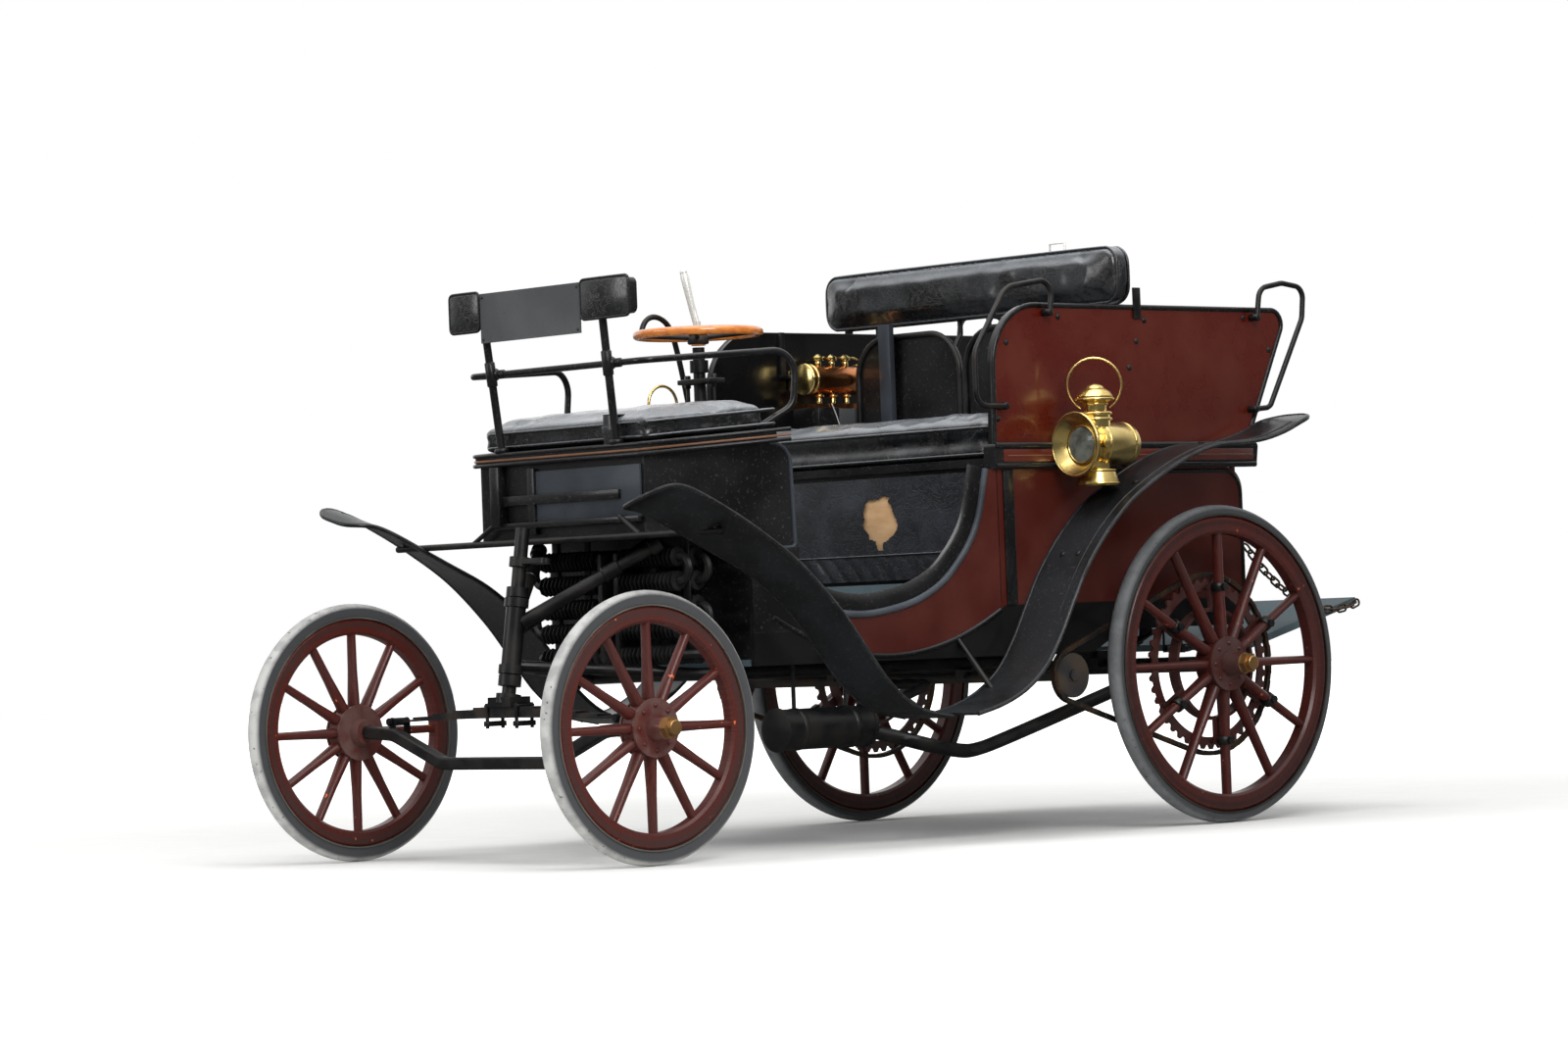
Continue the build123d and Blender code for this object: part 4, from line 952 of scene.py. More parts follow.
def filleted(route: Route, bends: Sequence[float], steps: int = 8) -> list[Flat]:
    """Round the corners of an open flat route.

    Args:
        route: its corners.
        bends: radius at each inner corner.
        steps: points round each corner.

    Returns:
        The points of the rounded route.
    """
    found = [Vector(route[0])]
    for number, bend in enumerate(bends, start=1):
        corner = Vector(route[number])
        back = (Vector(route[number - 1]) - corner).normalized()
        ahead = (Vector(route[number + 1]) - corner).normalized()
        half = back.angle(ahead) / 2
        reach = bend / math.tan(half)
        centre = corner + (back + ahead).normalized() * (bend / math.sin(half))
        first, last = corner + back * reach - centre, corner + ahead * reach - centre
        for step in range(steps + 1):
            spot = first.lerp(last, step / steps)
            found.append(centre + spot.normalized() * bend)
    found.append(Vector(route[-1]))
    return [(point.x, point.y) for point in found]


def curved(route: Route, steps: int = 6) -> list[Flat]:
    """Smooth line through the points of an open flat route.

    Args:
        route: the points it passes.
        steps: pieces between two of them.

    Returns:
        The points of the line.
    """
    spots = [Vector(point) for point in route]
    spots = [2 * spots[0] - spots[1], *spots, 2 * spots[-1] - spots[-2]]
    found = []
    for before, start, end, after in zip(spots, spots[1:], spots[2:], spots[3:]):
        for step in range(steps):
            share = step / steps
            spot = start * 2 + (end - before) * share + (before * 2 - start * 5 + end * 4 - after) * share**2
            spot += (start * 3 - before - end * 3 + after) * share**3
            found.append((spot.x / 2, spot.y / 2))
    return [*found, tuple(route[-1])]


def length_of(route: Sequence) -> float:
    """Length of an open route."""
    return sum((Vector(b) - Vector(a)).length for a, b in zip(route, route[1:]))


def on_taper(route: Route) -> list[Flat]:
    """Turn points (y, z) into (along, up) on the tapered body side."""
    return [((y - NOSE[1]) / math.cos(TAPER), z) for y, z in route]


def bench_z(y: float, rise: float) -> float:
    """Height above the front bench's sloping lower edge."""
    return SEAT_LOW_Z + (y - NOSE[1]) * SEAT_SLOPE + rise


def shifted(route: Route, distance: float) -> list[Flat]:
    """Line beside an open flat route, to the left of its direction."""
    found = []
    last = len(route) - 1
    for number, point in enumerate(route):
        ahead = Vector(route[min(number + 1, last)]) - Vector(route[max(number - 1, 0)])
        ahead.normalize()
        found.append((point[0] - ahead.y * distance, point[1] + ahead.x * distance))
    return found


def taper_place(sign: int) -> Matrix:
    """Place of a drawing (out, along, up) on the tapered body side."""
    turn = Matrix.Rotation(-TAPER, 4, "Z")
    place = Matrix.Translation((NOSE[0], NOSE[1], 0)) @ turn
    return place if sign > 0 else mirror_x() @ place


def flat_place(sign: int, x: float) -> Matrix:
    """Place of a drawing (out, y, z) on a side that faces straight out."""
    place = Matrix.Translation((x, 0, 0))
    return place if sign > 0 else mirror_x() @ place


def moulding(name: str, route: Route, half: float, rise: float, place: Matrix) -> Piece:
    """A half-round strip on a body side.

    Args:
        name: the piece's name.
        route: points (along, up) of its middle.
        half: half its width.
        rise: how far it stands out.
        place: where its drawing lies.

    Returns:
        The new object.
    """
    piece = bar(name, [(0, along, up) for along, up in route], half)
    with editing(piece):
        bpy.ops.transform.resize(value=(rise / half, 1, 1), center_override=(0, 0, 0))
    piece.matrix_world = place @ piece.matrix_world
    return piece


def copied(piece: Piece, moves: Sequence[Matrix], name: str) -> Piece:
    """Copy a piece to several places and join the copies with it.

    Args:
        piece: the first one, which stays where it is.
        moves: a matrix for each copy.
        name: name of the joined piece.

    Returns:
        The joined object.
    """
    copies = []
    for move in moves:
        other = piece.copy()
        other.data = piece.data.copy()
        bpy.context.scene.collection.objects.link(other)
        other.matrix_world = move @ piece.matrix_world
        copies.append(other)
    return joined([piece, *copies], name)


def strung(link: Piece, places: Sequence[Matrix], name: str) -> Piece:
    """Put a link at the first place and a copy of it at each other one."""
    link.matrix_world = places[0] @ link.matrix_world
    back = places[0].inverted()
    return copied(link, [place @ back for place in places[1:]], name)


def joined(pieces: Sequence[Piece], name: str) -> Piece:
    """Join pieces into one object."""
    select_only(pieces[0])
    for other in pieces[1:]:
        other.select_set(True)
    bpy.ops.object.join()
    piece = bpy.context.object
    piece.name = name
    return piece


def settle(piece: Piece, smooth_angle: float = 35.0) -> None:
    """Apply the piece's place, merge its doubles, turn its faces outwards and smooth its shading."""
    select_only(piece)
    bpy.ops.object.transform_apply(location=True, rotation=True, scale=True)
    with editing(piece, "VERT"):
        bpy.ops.mesh.remove_doubles(threshold=0.00001)
        bpy.ops.mesh.normals_make_consistent(inside=False)
    select_only(piece)
    bpy.ops.object.shade_smooth_by_angle(angle=math.radians(smooth_angle))


class Shop:
    """Hangs finished pieces on the car and reports them."""

    def __init__(self, frame: dict, palette: Palette) -> None:
        """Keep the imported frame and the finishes."""
        self.nodes = frame["nodes"]
        self.palette = palette

    def dress(self, finish: str, *nodes: str) -> None:
        """Give CAD nodes a finish."""
        for name in nodes:
            materials = self.nodes[name].data.materials
            materials.clear()
            materials.append(self.palette[finish])
            log.info("node %s wears %s", name, finish)

    def coat(self, piece: Piece, finish: str, smooth_angle: float) -> None:
        """Settle a piece and give it a finish."""
        settle(piece, smooth_angle)
        piece.data.materials.clear()
        piece.data.materials.append(self.palette[finish])

    def hang(self, piece: Piece, finish: str, smooth_angle: float = 35.0, body: Body = Body.ROOT) -> Piece:
        """Coat a piece and let it ride on a body."""
        self.coat(piece, finish, smooth_angle)
        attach(piece, body.value)
        log.info("piece %s rides on %s with %d faces", piece.name, body.value, len(piece.data.polygons))
        return piece


def around_x(centre: Flat, degrees: float) -> Matrix:
    """Turn about an axis along X through (y, z)."""
    place = Matrix.Translation((0, centre[0], centre[1]))
    return place @ Matrix.Rotation(math.radians(degrees), 4, "X") @ place.inverted()


def mirror_x() -> Matrix:
    """Mirror to the other side of the car."""
    return Matrix.Scale(-1, 4, (1, 0, 0))


# Studio


@dataclass
class Studio:
    """Pale floor, soft lamps and the camera at the photograph's angle."""

    eye: Point = (10.220, -9.485, 0.608)
    right: Point = (0.6723, 0.7393, -0.0382)
    up: Point = (0.0411, 0.0143, 0.9991)
    back: Point = (0.7391, -0.6733, -0.0208)
    lens: float = 112.5
    floor_size: float = 60.0
    sky_level: float = 0.62

    def build(self) -> None:
        """Set the floor, the lamps, the background and the camera."""
        self._floor()
        self._lamps()
        self._world()
        self._camera()
        bpy.context.scene.view_settings.view_transform = "Standard"

    def _camera(self) -> None:
        """Place the camera."""
        data = bpy.data.cameras.new("camera")
        data.sensor_width = 36.0
        data.lens = self.lens
        camera = bpy.data.objects.new("camera", data)
        bpy.context.scene.collection.objects.link(camera)
        turn = Matrix((self.right, self.up, self.back)).transposed().to_4x4()
        camera.matrix_world = Matrix.Translation(self.eye) @ turn
        bpy.context.scene.camera = camera

    def _floor(self) -> None:
        """Lay a pale floor that keeps the car's shadow."""
        bpy.ops.object.select_all(action="DESELECT")
        bpy.ops.mesh.primitive_plane_add(size=self.floor_size)
        floor = bpy.context.object
        floor.name = "studio_floor"
        material = bpy.data.materials.new("studio_floor")
        material.use_nodes = True
        shader = material.node_tree.nodes["Principled BSDF"]
        tree = Tree(material.node_tree)
        place = tree.node("TexCoord").outputs["Object"]
        path = tree.node("LightPath")
        pale = tree.blend(tree.noise(place, 8.0), srgb(236, 236, 234), srgb(246, 246, 244))
        mirrored = tree.maths("MULTIPLY", path.outputs["Is Glossy Ray"], 0.9)
        tree.set(shader.inputs["Base Color"], tree.blend(mirrored, pale, srgb(52, 52, 50)))
        shader.inputs["Roughness"].default_value = 0.9
        distance = tree.node("VectorMath", {0: place}, operation="LENGTH").outputs["Value"]
        haze = tree.maths("MULTIPLY", tree.ramp(distance, 2.0, 9.0), path.outputs["Is Camera Ray"])
        shader.inputs["Emission Color"].default_value = (1, 1, 1, 1)
        tree.set(shader.inputs["Emission Strength"], haze)
        floor.data.materials.append(material)

    def _lamps(self) -> None:
        """Hang three soft lamps: a broad one above, a key from the car's left front, a fill from behind."""
        # name, place, size, power
        lamps = (
            ("top", (0.5, -0.5, 5.5), 5.0, 170.0),
            ("key", (6.0, -3.0, 4.5), 3.0, 260.0),
            ("front", (-3.0, -7.5, 3.5), 3.5, 130.0),
        )
        target = Vector((0, 0, 0.7))
        for name, place, size, power in lamps:
            data = bpy.data.lights.new(name, "AREA")
            data.size = size
            data.energy = power
            lamp = bpy.data.objects.new(name, data)
            bpy.context.scene.collection.objects.link(lamp)
            lamp.location = place
            lamp.rotation_euler = (target - Vector(place)).to_track_quat("-Z", "Y").to_euler()

    def _world(self) -> None:
        """White for the camera, dim near the horizon for reflections, a plain level of light for the rest."""
        world = bpy.data.worlds.new("studio")
        bpy.context.scene.world = world
        world.use_nodes = True
        tree = Tree(world.node_tree)
        path = tree.node("LightPath")
        seen = tree.maths("MAXIMUM", path.outputs["Is Camera Ray"], path.outputs["Is Transmission Ray"])
        way = tree.node("TexCoord").outputs["Generated"]
        up = tree.ramp(tree.node("SeparateXYZ", {0: way}).outputs["Z"], 0.10, 0.80)
        far_side = {0: way, 1: (-0.74, 0.67, 0.1)}
        beyond = tree.node("VectorMath", far_side, operation="DOT_PRODUCT").outputs["Value"]
        bright = tree.maths("MAXIMUM", up, tree.ramp(beyond, 0.25, 0.75))
        mirrored = tree.maths("MULTIPLY_ADD", bright, 0.95, 0.12)
        levels = {0: path.outputs["Is Glossy Ray"], 2: self.sky_level, 3: mirrored}
        level = tree.node("Mix", levels).outputs[0]
        strength = tree.maths("MAXIMUM", seen, level)
        background = world.node_tree.nodes["Background"]
        background.inputs["Color"].default_value = (1, 1, 1, 1)
        tree.set(background.inputs["Strength"], strength)


# Sub-assemblies


@dataclass
class Wheels:
    """Four artillery wheels: flange rivets, and paint and rubber for their CAD pieces."""

    rivets: int = 8
    rivet_ring: float = 0.058
    rivet_r: float = 0.0065

    def build(self, shop: Shop) -> None:
        """Dress and detail every wheel."""
        # end, axle, half track, flange face from the wheel's middle
        for end, axle, half_track, face in (
            ("front", FRONT_AXLE, FRONT_HALF_TRACK, 0.029),
            ("rear", REAR_AXLE, REAR_HALF_TRACK, 0.031),
        ):
            for side, sign in SIDES:
                shop.dress(f"{end}_wheel_paint", f"{end}_wheel_{side}")
                shop.dress(f"{end}_rubber", f"{end}_tyre_{side}")
                shop.dress(f"{end}_hub_paint", f"{end}_hub_{side}")
                self._rivets(shop, f"{end}_{side}", axle, sign * half_track, sign, face)

    def _rivets(self, shop: Shop, corner: str, axle: Flat, x: float, sign: int, face: float) -> None:
        """Ring of domed rivets on the outer flange."""
        place = (x + sign * (face - 0.0008), axle[0], axle[1] + self.rivet_ring)
        wide = self.rivet_r
        dome = [(wide, 0.0), (wide * 0.92, 0.0025), (wide * 0.6, 0.0048), (0.001, 0.0056)]
        head = turned(f"{corner}_flange_rivets", dome, place, (sign, 0, 0), 12)
        turns = [around_x(axle, 360 / self.rivets * step) for step in range(1, self.rivets)]
        rivets = copied(head, turns, f"{corner}_flange_rivets")
        shop.hang(rivets, f"{corner.split('_')[0]}_wheel_paint", 50, Body(corner))


@dataclass
class Upholstery:
    """Cushions and the shared back pad, swelled from their CAD solids, with welts round their seams."""

    voxel: float = 0.009
    swell: float = 0.020
    seam_width: float = 0.026
    pinch: float = 0.006
    groove: float = 0.011
    crease: float = 0.0060
    fine_crease: float = 0.0010
    crease_reach: float = 0.03
    pressure: float = 9.0
    welt_r: float = 0.0046
    frames: int = 20

    def build(self, shop: Shop) -> None:
        """Make every soft seat piece."""
        for node in ("front_cushion", "driver_cushion", "rear_cushion", "back_pad"):
            self._pad(shop, node)

    def _seams(self, node: str) -> list[list[Point]]:
        """Routes of the welts round a cushion's top and bottom edges, or the pad's two faces."""
        low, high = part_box(node)
        inset = 0.005
        if node == "back_pad":
            return [
                rounded((low.x, low.z), (high.x, high.z), 0.050, lambda a, b, y=y: (a, y, b), inset)
                for y in (low.y + 0.012, high.y - 0.012)
            ]
        if node == "front_cushion":
            return self._front_seams()
        return [
            rounded((low.x, low.y), (high.x, high.y), 0.036, lambda a, b, z=z: (a, b, z), inset)
            for z in (low.z + 0.012, high.z - 0.026)
        ]

    def _front_seams(self) -> list[list[Point]]:
        """Welts of the tapered front cushion, which slopes with its bench."""
        front, rear = (-0.976, 0.336), (-0.612, 0.478)
        seams = []
        for rise in (0.048, 0.086):
            route = []
            for (y, half), direction in ((front, 1), (rear, -1)):
                height = bench_z(y, rise)
                corners = [(-half, y, height), (half, y, height)]
                route += corners if direction > 0 else corners[::-1]
            seams.append(eased(route, 0.03))
        return seams

    def _pad(self, shop: Shop, node: str) -> None:
        """One padded piece and its welts."""
        seams = self._seams(node)
        piece = shop.nodes[node].copy()
        piece.data = piece.data.copy()
        piece.name = f"{node}_cover"
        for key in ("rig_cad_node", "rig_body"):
            if key in piece:
                del piece[key]
        piece.parent = None
        bpy.context.scene.collection.objects.link(piece)
        with editing(piece, "VERT"):
            bpy.ops.mesh.remove_doubles(threshold=0.0001)
        apply_modifier(piece, "REMESH", mode="VOXEL", voxel_size=self.voxel)
        apply_modifier(piece, "SMOOTH", factor=0.5, iterations=9)
        self._draw_in(piece, seams)
        self._inflate(piece, seams)
        apply_modifier(piece, "SUBSURF", levels=1, render_levels=1)
        shop.hang(piece, "seat_leather", 60)
        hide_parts(node)
        for number, seam in enumerate(seams):
            welt = bar(f"{node}_welt_{number + 1}", seam, self.welt_r, closed=True, smooth=True)
            shop.hang(welt, "seat_leather", 60)

    def _draw_in(self, piece: Piece, seams: list[list[Point]]) -> None:
        """Pull the cover in along its seams, and crease it across them."""
        tree = point_tree([Vector(point) for seam in seams for point in dense(seam, 0.012)])
        moves = []
        for vertex in piece.data.vertices:
            distance = tree.find(vertex.co)[2]
            groove = self.pinch * math.exp(-((distance / self.groove) ** 2))
            crease = self.crease * noise(vertex.co * 13.0) + self.fine_crease * noise(vertex.co * 34.0)
            moves.append(vertex.normal * (crease * min(1.0, distance / self.crease_reach) - groove))
        for vertex, move in zip(piece.data.vertices, moves):
            vertex.co += move

    def _inflate(self, piece: Piece, seams: list[list[Point]]) -> None:
        """Blow the cover up with cloth, held back along its seams."""
        before = [vertex.co.copy() for vertex in piece.data.vertices]
        cloth = piece.modifiers.new("cloth", "CLOTH")
        cloth.settings.use_pressure = True
        cloth.settings.uniform_pressure_force = self.pressure
        cloth.settings.effector_weights.gravity = 0.0
        cloth.settings.quality = 4
        scene = bpy.context.scene
        for frame_number in range(1, self.frames + 1):
            scene.frame_set(frame_number)
        graph = bpy.context.evaluated_depsgraph_get()
        after = [vertex.co.copy() for vertex in piece.evaluated_get(graph).data.vertices]
        piece.modifiers.remove(cloth)
        scene.frame_set(1)
        points = [Vector(point) for seam in seams for point in dense(seam, 0.02)]
        tree = point_tree(points)
        for vertex, start, end in zip(piece.data.vertices, before, after):
            distance = tree.find(start)[2]
            free = 1 - math.exp(-((distance / self.seam_width) ** 2))
            move = end - start
            if move.length > self.swell:
                move.length = self.swell
            vertex.co = start + move * free


def point_tree(points: Sequence[Vector]) -> KDTree:
    """Index points so that the nearest is found fast."""
    tree = KDTree(len(points))
    for number, point in enumerate(points):
        tree.insert(point, number)
    tree.balance()
    return tree


def dense(route: Sequence[Point], step: float) -> list[Point]:
    """Points along a closed route at most a step apart."""
    found = []
    for start, end in zip(route, [*route[1:], route[0]]):
        line = Vector(end) - Vector(start)
        count = max(1, math.ceil(line.length / step))
        found += [tuple(Vector(start) + line * (number / count)) for number in range(count)]
    return found


def rounded(low: Flat, high: Flat, radius: float, place: Callable, inset: float = 0.0) -> list[Point]:
    """Rounded rectangle as a closed route.

    Args:
        low: lowest corner in the drawing plane.
        high: highest corner in the drawing plane.
        radius: corner radius.
        place: turns a pair of drawing coordinates into a point.
        inset: how far inside the corners it runs.

    Returns:
        The route's points.
    """
    route = []
    # x end, y end, angle at which the corner starts
    for end_a, end_b, start in ((1, 1, 0), (0, 1, 90), (0, 0, 180), (1, 0, 270)):
        centre_a = high[0] - inset - radius if end_a else low[0] + inset + radius
        centre_b = high[1] - inset - radius if end_b else low[1] + inset + radius
        for step in range(5):
            angle = math.radians(start + 22.5 * step)
            route.append(place(centre_a + radius * math.cos(angle), centre_b + radius * math.sin(angle)))
    return route


def eased(route: Sequence[Point], reach: float) -> list[Point]:
    """Closed route with each corner cut twice so that a spline through it turns softly."""
    found = []
    for number, corner in enumerate(route):
        before = Vector(route[number - 1])
        after = Vector(route[(number + 1) % len(route)])
        here = Vector(corner)
        to_before = (before - here).normalized() * reach
        to_after = (after - here).normalized() * reach
        middle = here + to_before * 0.3 + to_after * 0.3
        found += [tuple(here + to_before), tuple(middle), tuple(here + to_after)]
    return found


@dataclass
class Apron:
    """Torn leather apron that hangs below the driver's bench."""

    top_z: float = 1.014
    low_z: float = 0.722
    half: float = 0.518
    y: float = 0.0925
    hole_centre: Flat = (0.108, 0.890)
    hole_size: Flat = (0.068, 0.066)
    hem_z: float = 0.795

    def build(self, shop: Shop) -> None:
        """Make the sheet, its hem and the lining that shows through the tear."""
        sheet = self._sheet()
        shop.hang(sheet, "apron_leather", 60)
        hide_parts("leather_apron")
        hem = bar(
            "apron_hem",
            [(-self.half, self.y - 0.004, self.hem_z), (0, self.y - 0.005, self.hem_z - 0.002),
             (self.half, self.y - 0.004, self.hem_z)],
            0.0022, smooth=True,
        )
        shop.hang(hem, "apron_leather", 60)
        lining = block(
            "apron_lining",
            (self.hole_centre[0] - 0.10, self.y + 0.0045, self.hole_centre[1] - 0.10),
            (self.hole_centre[0] + 0.10, self.y + 0.0075, self.hole_centre[1] + 0.10),
            0.001,
        )
        shop.hang(lining, "tan_lining")

    def _sheet(self) -> Piece:
        """A grid with folds and a ragged hole."""
        bpy.ops.object.select_all(action="DESELECT")
        bpy.ops.mesh.primitive_grid_add(x_subdivisions=260, y_subdivisions=74, size=1)
        piece = bpy.context.object
        piece.name = "apron_cover"
        width, length = 2 * self.half, self.top_z - self.low_z
        middle = (self.top_z + self.low_z) / 2
        for vertex in piece.data.vertices:
            x, z = vertex.co.x * width, middle + vertex.co.y * length
            droop = (self.top_z - z) / length
            fold = 0.0040 * noise(Vector((x * 9, z * 5, 2.0))) * droop
            ripple = 0.0026 * math.sin(x * 52 + 46 * z) * smooth(self.hem_z + 0.008, self.hem_z - 0.016, z)
            vertex.co = (x, self.y - 0.001 - abs(fold) - abs(ripple), z)
        choose(piece, "FACE", lambda face: self._torn(face.center.x, face.center.z))
        with editing(piece, everything=False):
            bpy.ops.mesh.delete(type="FACE")
        return piece

    def _torn(self, x: float, z: float) -> bool:
        """Whether a place on the apron is inside the tear."""
        a = (x - self.hole_centre[0]) / self.hole_size[0]
        b = (z - self.hole_centre[1]) / self.hole_size[1]
        ragged = 0.45 * noise(Vector((x * 34, z * 34, 0.5)))
        return math.hypot(a, b) < 1 + ragged


def smooth(low: float, high: float, value: float) -> float:
    """Smooth step from 0 at low to 1 at high."""
    share = min(1.0, max(0.0, (value - low) / (high - low)))
    return share * share * (3 - 2 * share)


@dataclass
class Coachwork:
    """Body panels with their mouldings, beads, bolts, straps and irons."""

    bead_r: float = 0.0075
    bolt_r: float = 0.009
    panel_x: float = 0.596
    panel_inner_x: float = 0.578
    beam_x: float = 0.6135
    grab_x: float = 0.6223
    iron_r: float = 0.008

    def build(self, shop: Shop) -> None:
        """Dress the body and add its trim."""
        shop.dress("coach_black", "front_seat_box", "seat_frame", "back_board", "front_handrail")
        shop.dress("quarter_maroon", "body_side_left", "body_side_right", "rear_panel")
        shop.dress("floor_grey", "body_floor", "tailboard")
        shop.dress("plate_grey", "number_plate")
        for side, sign in SIDES:
            self._panel(shop, side, sign)
            self._fillers(shop, side, sign)
            self._entrance(shop, side, sign)
            self._sill_bead(shop, side, sign)
            self._panel_bead(shop, side, sign)
            self._panel_bolts(shop, side, sign)
            self._beam(shop, side, sign)
            self._stile(shop, side, sign)
        self._back(shop)

    def _entrance(self, shop: Shop, side: str, sign: int) -> None:
        """Grey half-round strip round the entrance, over a broad black band."""
        edge = curved(ENTRANCE, 4)
        # name, finish, distance from the edge, half width, rise
        for name, finish, distance, half, rise in (
            ("entrance_band", "coach_black", -0.040, 0.026, 0.007),
            ("entrance_strip", "worn_strip", -0.010, 0.011, 0.012),
        ):
            route = on_taper(shifted(edge, distance))
            strip = moulding(f"{name}_{side}", route, half, rise, taper_place(sign))
            shop.hang(strip, finish, 50)

    def _panel(self, shop: Shop, side: str, sign: int) -> None:
        """Upper side panel with its swept front corner."""
        corners = ((0.074, 1.087), (0.086, 1.478), (1.312, 1.478), (1.115, 1.087))
        outline = filleted(corners, (0.175, 0.045), 14)
        face = [(sign * self.panel_inner_x, y, z) for y, z in outline]
        panel = plate(f"side_panel_{side}", face, (sign * 0.018, 0, 0))
        shop.hang(panel, "coach_maroon", 30)
        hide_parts(f"seat_side_{side}")

    def _fillers(self, shop: Shop, side: str, sign: int) -> None:
        """Plates that round the entrance's corners and carry the front panel back over the sill."""
        sill = [*curved(ENTRANCE, 4), (-0.640, 0.812), (-0.640, 0.650), (-0.540, 0.572), (0.020, 0.572),
                (0.078, 0.640), (0.078, 1.016)]
        corners = ((-0.600, 0.815), (-0.548, 0.818), (-0.556, 1.106), (-0.640, 1.098))
        front = [*filleted(corners, (0.012, 0.056), 8), (-0.640, 0.815)]
        # name, finish, outline
        for name, finish, outline in (
            ("entrance_sill", "quarter_maroon", sill),
            ("front_panel", "coach_black", front),
        ):
            corners = [(0.0004, along, up) for along, up in on_taper(outline)]
            filler = plate(f"{name}_{side}", corners, (-0.0228, 0, 0))
            filler.matrix_world = taper_place(sign)
            shop.hang(filler, finish, 30)
        bead = moulding(f"front_panel_bead_{side}", on_taper(front[:-2]), 0.006, 0.007, taper_place(sign))
        shop.hang(bead, "strut_grey", 60)

    def _sill_bead(self, shop: Shop, side: str, sign: int) -> None:
        """Bead where the sill's maroon paint meets the black below it."""
        steps = [-0.62 + step * 0.029 for step in range(25)]
        line = [(y, min(SILL_HIGH_Z, SILL_LOW_Z + SILL_BEND * (y - SILL_Y) ** 2)) for y in steps]
        bead = moulding(f"sill_bead_{side}", on_taper(line), 0.007, 0.006, taper_place(sign))
        shop.hang(bead, "coach_black", 50)

    def _panel_bead(self, shop: Shop, side: str, sign: int) -> None:
        """Half-round bead round each upper side panel."""
        route = filleted(((0.080, 1.088), (0.090, 1.474), (1.306, 1.474), (1.112, 1.088)), (0.171, 0.041), 10)
        bead = moulding(f"panel_bead_{side}", route, self.bead_r, 0.007, flat_place(sign, self.panel_x))
        shop.hang(bead, "coach_black", 60)

    def _panel_bolts(self, shop: Shop, side: str, sign: int) -> None:
        """Domed bolt heads that hold the irons inside the panel."""
        dome = [(self.bolt_r, 0.0), (self.bolt_r * 0.9, 0.003), (self.bolt_r * 0.5, 0.0055), (0.001, 0.0062)]
        # y, z
        places = (
            (0.349, 1.443), (0.140, 1.369), (0.098, 1.156), (0.700, 1.437),
            (0.664, 1.377), (0.631, 1.302), (1.118, 1.451), (1.223, 1.358),
        )
        first = places[0]
        head = turned("bolt", dome, (sign * (self.panel_x - 0.0006), *first), (sign, 0, 0), 12)
        moves = [Matrix.Translation((0, y - first[0], z - first[1])) for y, z in places[1:]]
        bolts = copied(head, moves, f"panel_bolts_{side}")
        shop.hang(bolts, "blackened_iron", 50)
        strap = block(
            f"pad_strap_{side}", (sign * 0.5975, 0.652, 1.44), (sign * 0.6035, 0.682, 1.530), 0.002
        )
        shop.hang(strap, "blackened_iron")

    def _beam(self, shop: Shop, side: str, sign: int) -> None:
        """Maroon inset and copper line along each seat beam, framed by black mouldings."""
        x = sign * self.beam_x
        inset = block(f"beam_inset_{side}", (x, 0.094, 1.036), (x + sign * 0.0025, 1.118, 1.070), 0.0008)
        shop.hang(inset, "coach_maroon")
        line = block(f"beam_line_{side}", (x, 0.110, 1.0515), (x + sign * 0.0042, 1.108, 1.0545), 0.0006)
        shop.hang(line, "line_copper")
        for name, z in (("top", 1.081), ("low", 1.024)):
            strip = moulding(
                f"beam_{name}_moulding_{side}", ((0.066, z), (1.128, z)), 0.0085, 0.007, flat_place(sign, 0.613)
            )
            shop.hang(strip, "coach_black", 50)

    def _stile(self, shop: Shop, side: str, sign: int) -> None:
        """Black stile behind the entrance, and a black bead along the quarter's top and rear edge."""
        stile = block(
            f"quarter_stile_{side}", (sign * 0.5995, 0.100, 0.640), (sign * 0.6065, 0.140, 1.016), 0.003
        )
        shop.hang(stile, "coach_black")
        line = filleted(((0.46, 1.006), (1.072, 1.006), (1.072, 0.60)), (0.066,), 8)
        edge = moulding(f"quarter_edge_{side}", line, 0.0065, 0.005, flat_place(sign, 0.600))
        shop.hang(edge, "coach_black", 50)

    def _irons(self, shop: Shop) -> None:
        """Struts that carry the back pad, and the bent grab irons on both sides."""
        strut = filleted(((0.583, 1.049), (0.583, 1.400), (0.609, 1.440), (0.609, 1.482)), (0.018, 0.018))
        front = (
            (0.104, 1.190), (-0.010, 1.190), (-0.010, 1.340), (0.120, 1.520), (0.310, 1.548), (0.290, 1.452),
        )
        rear = (
            (1.150, 1.450), (1.165, 1.535), (1.262, 1.552), (1.355, 1.540), (1.345, 1.450), (1.190, 1.188),
            (1.130, 1.183),
        )
        front_iron = (front, (0.040, 0.080, 0.070, 0.040))
        rear_iron = (rear, (0.040, 0.060, 0.034, 0.050, 0.030))
        pieces = []
        # No front iron shows on the right
        for sign, grabs in ((1, (front_iron, rear_iron)), (-1, (rear_iron,))):
            for x in (0.060, 0.410):
                pieces.append(bar("strut", [(sign * x, y, z) for y, z in strut], self.iron_r))
            for corners, bends in grabs:
                route = filleted(corners, bends)
                pieces.append(bar("grab", [(sign * self.grab_x, y, z) for y, z in route], self.iron_r))
                for y, z in (corners[0], corners[-1]):
                    pieces.append(sleeve("foot", (sign * 0.5962, y, z), (sign * 0.630, y, z), 0.0105))
        irons = shop.hang(joined(pieces, "seat_irons_bent"), "blackened_iron", 60)
        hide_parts("seat_irons")

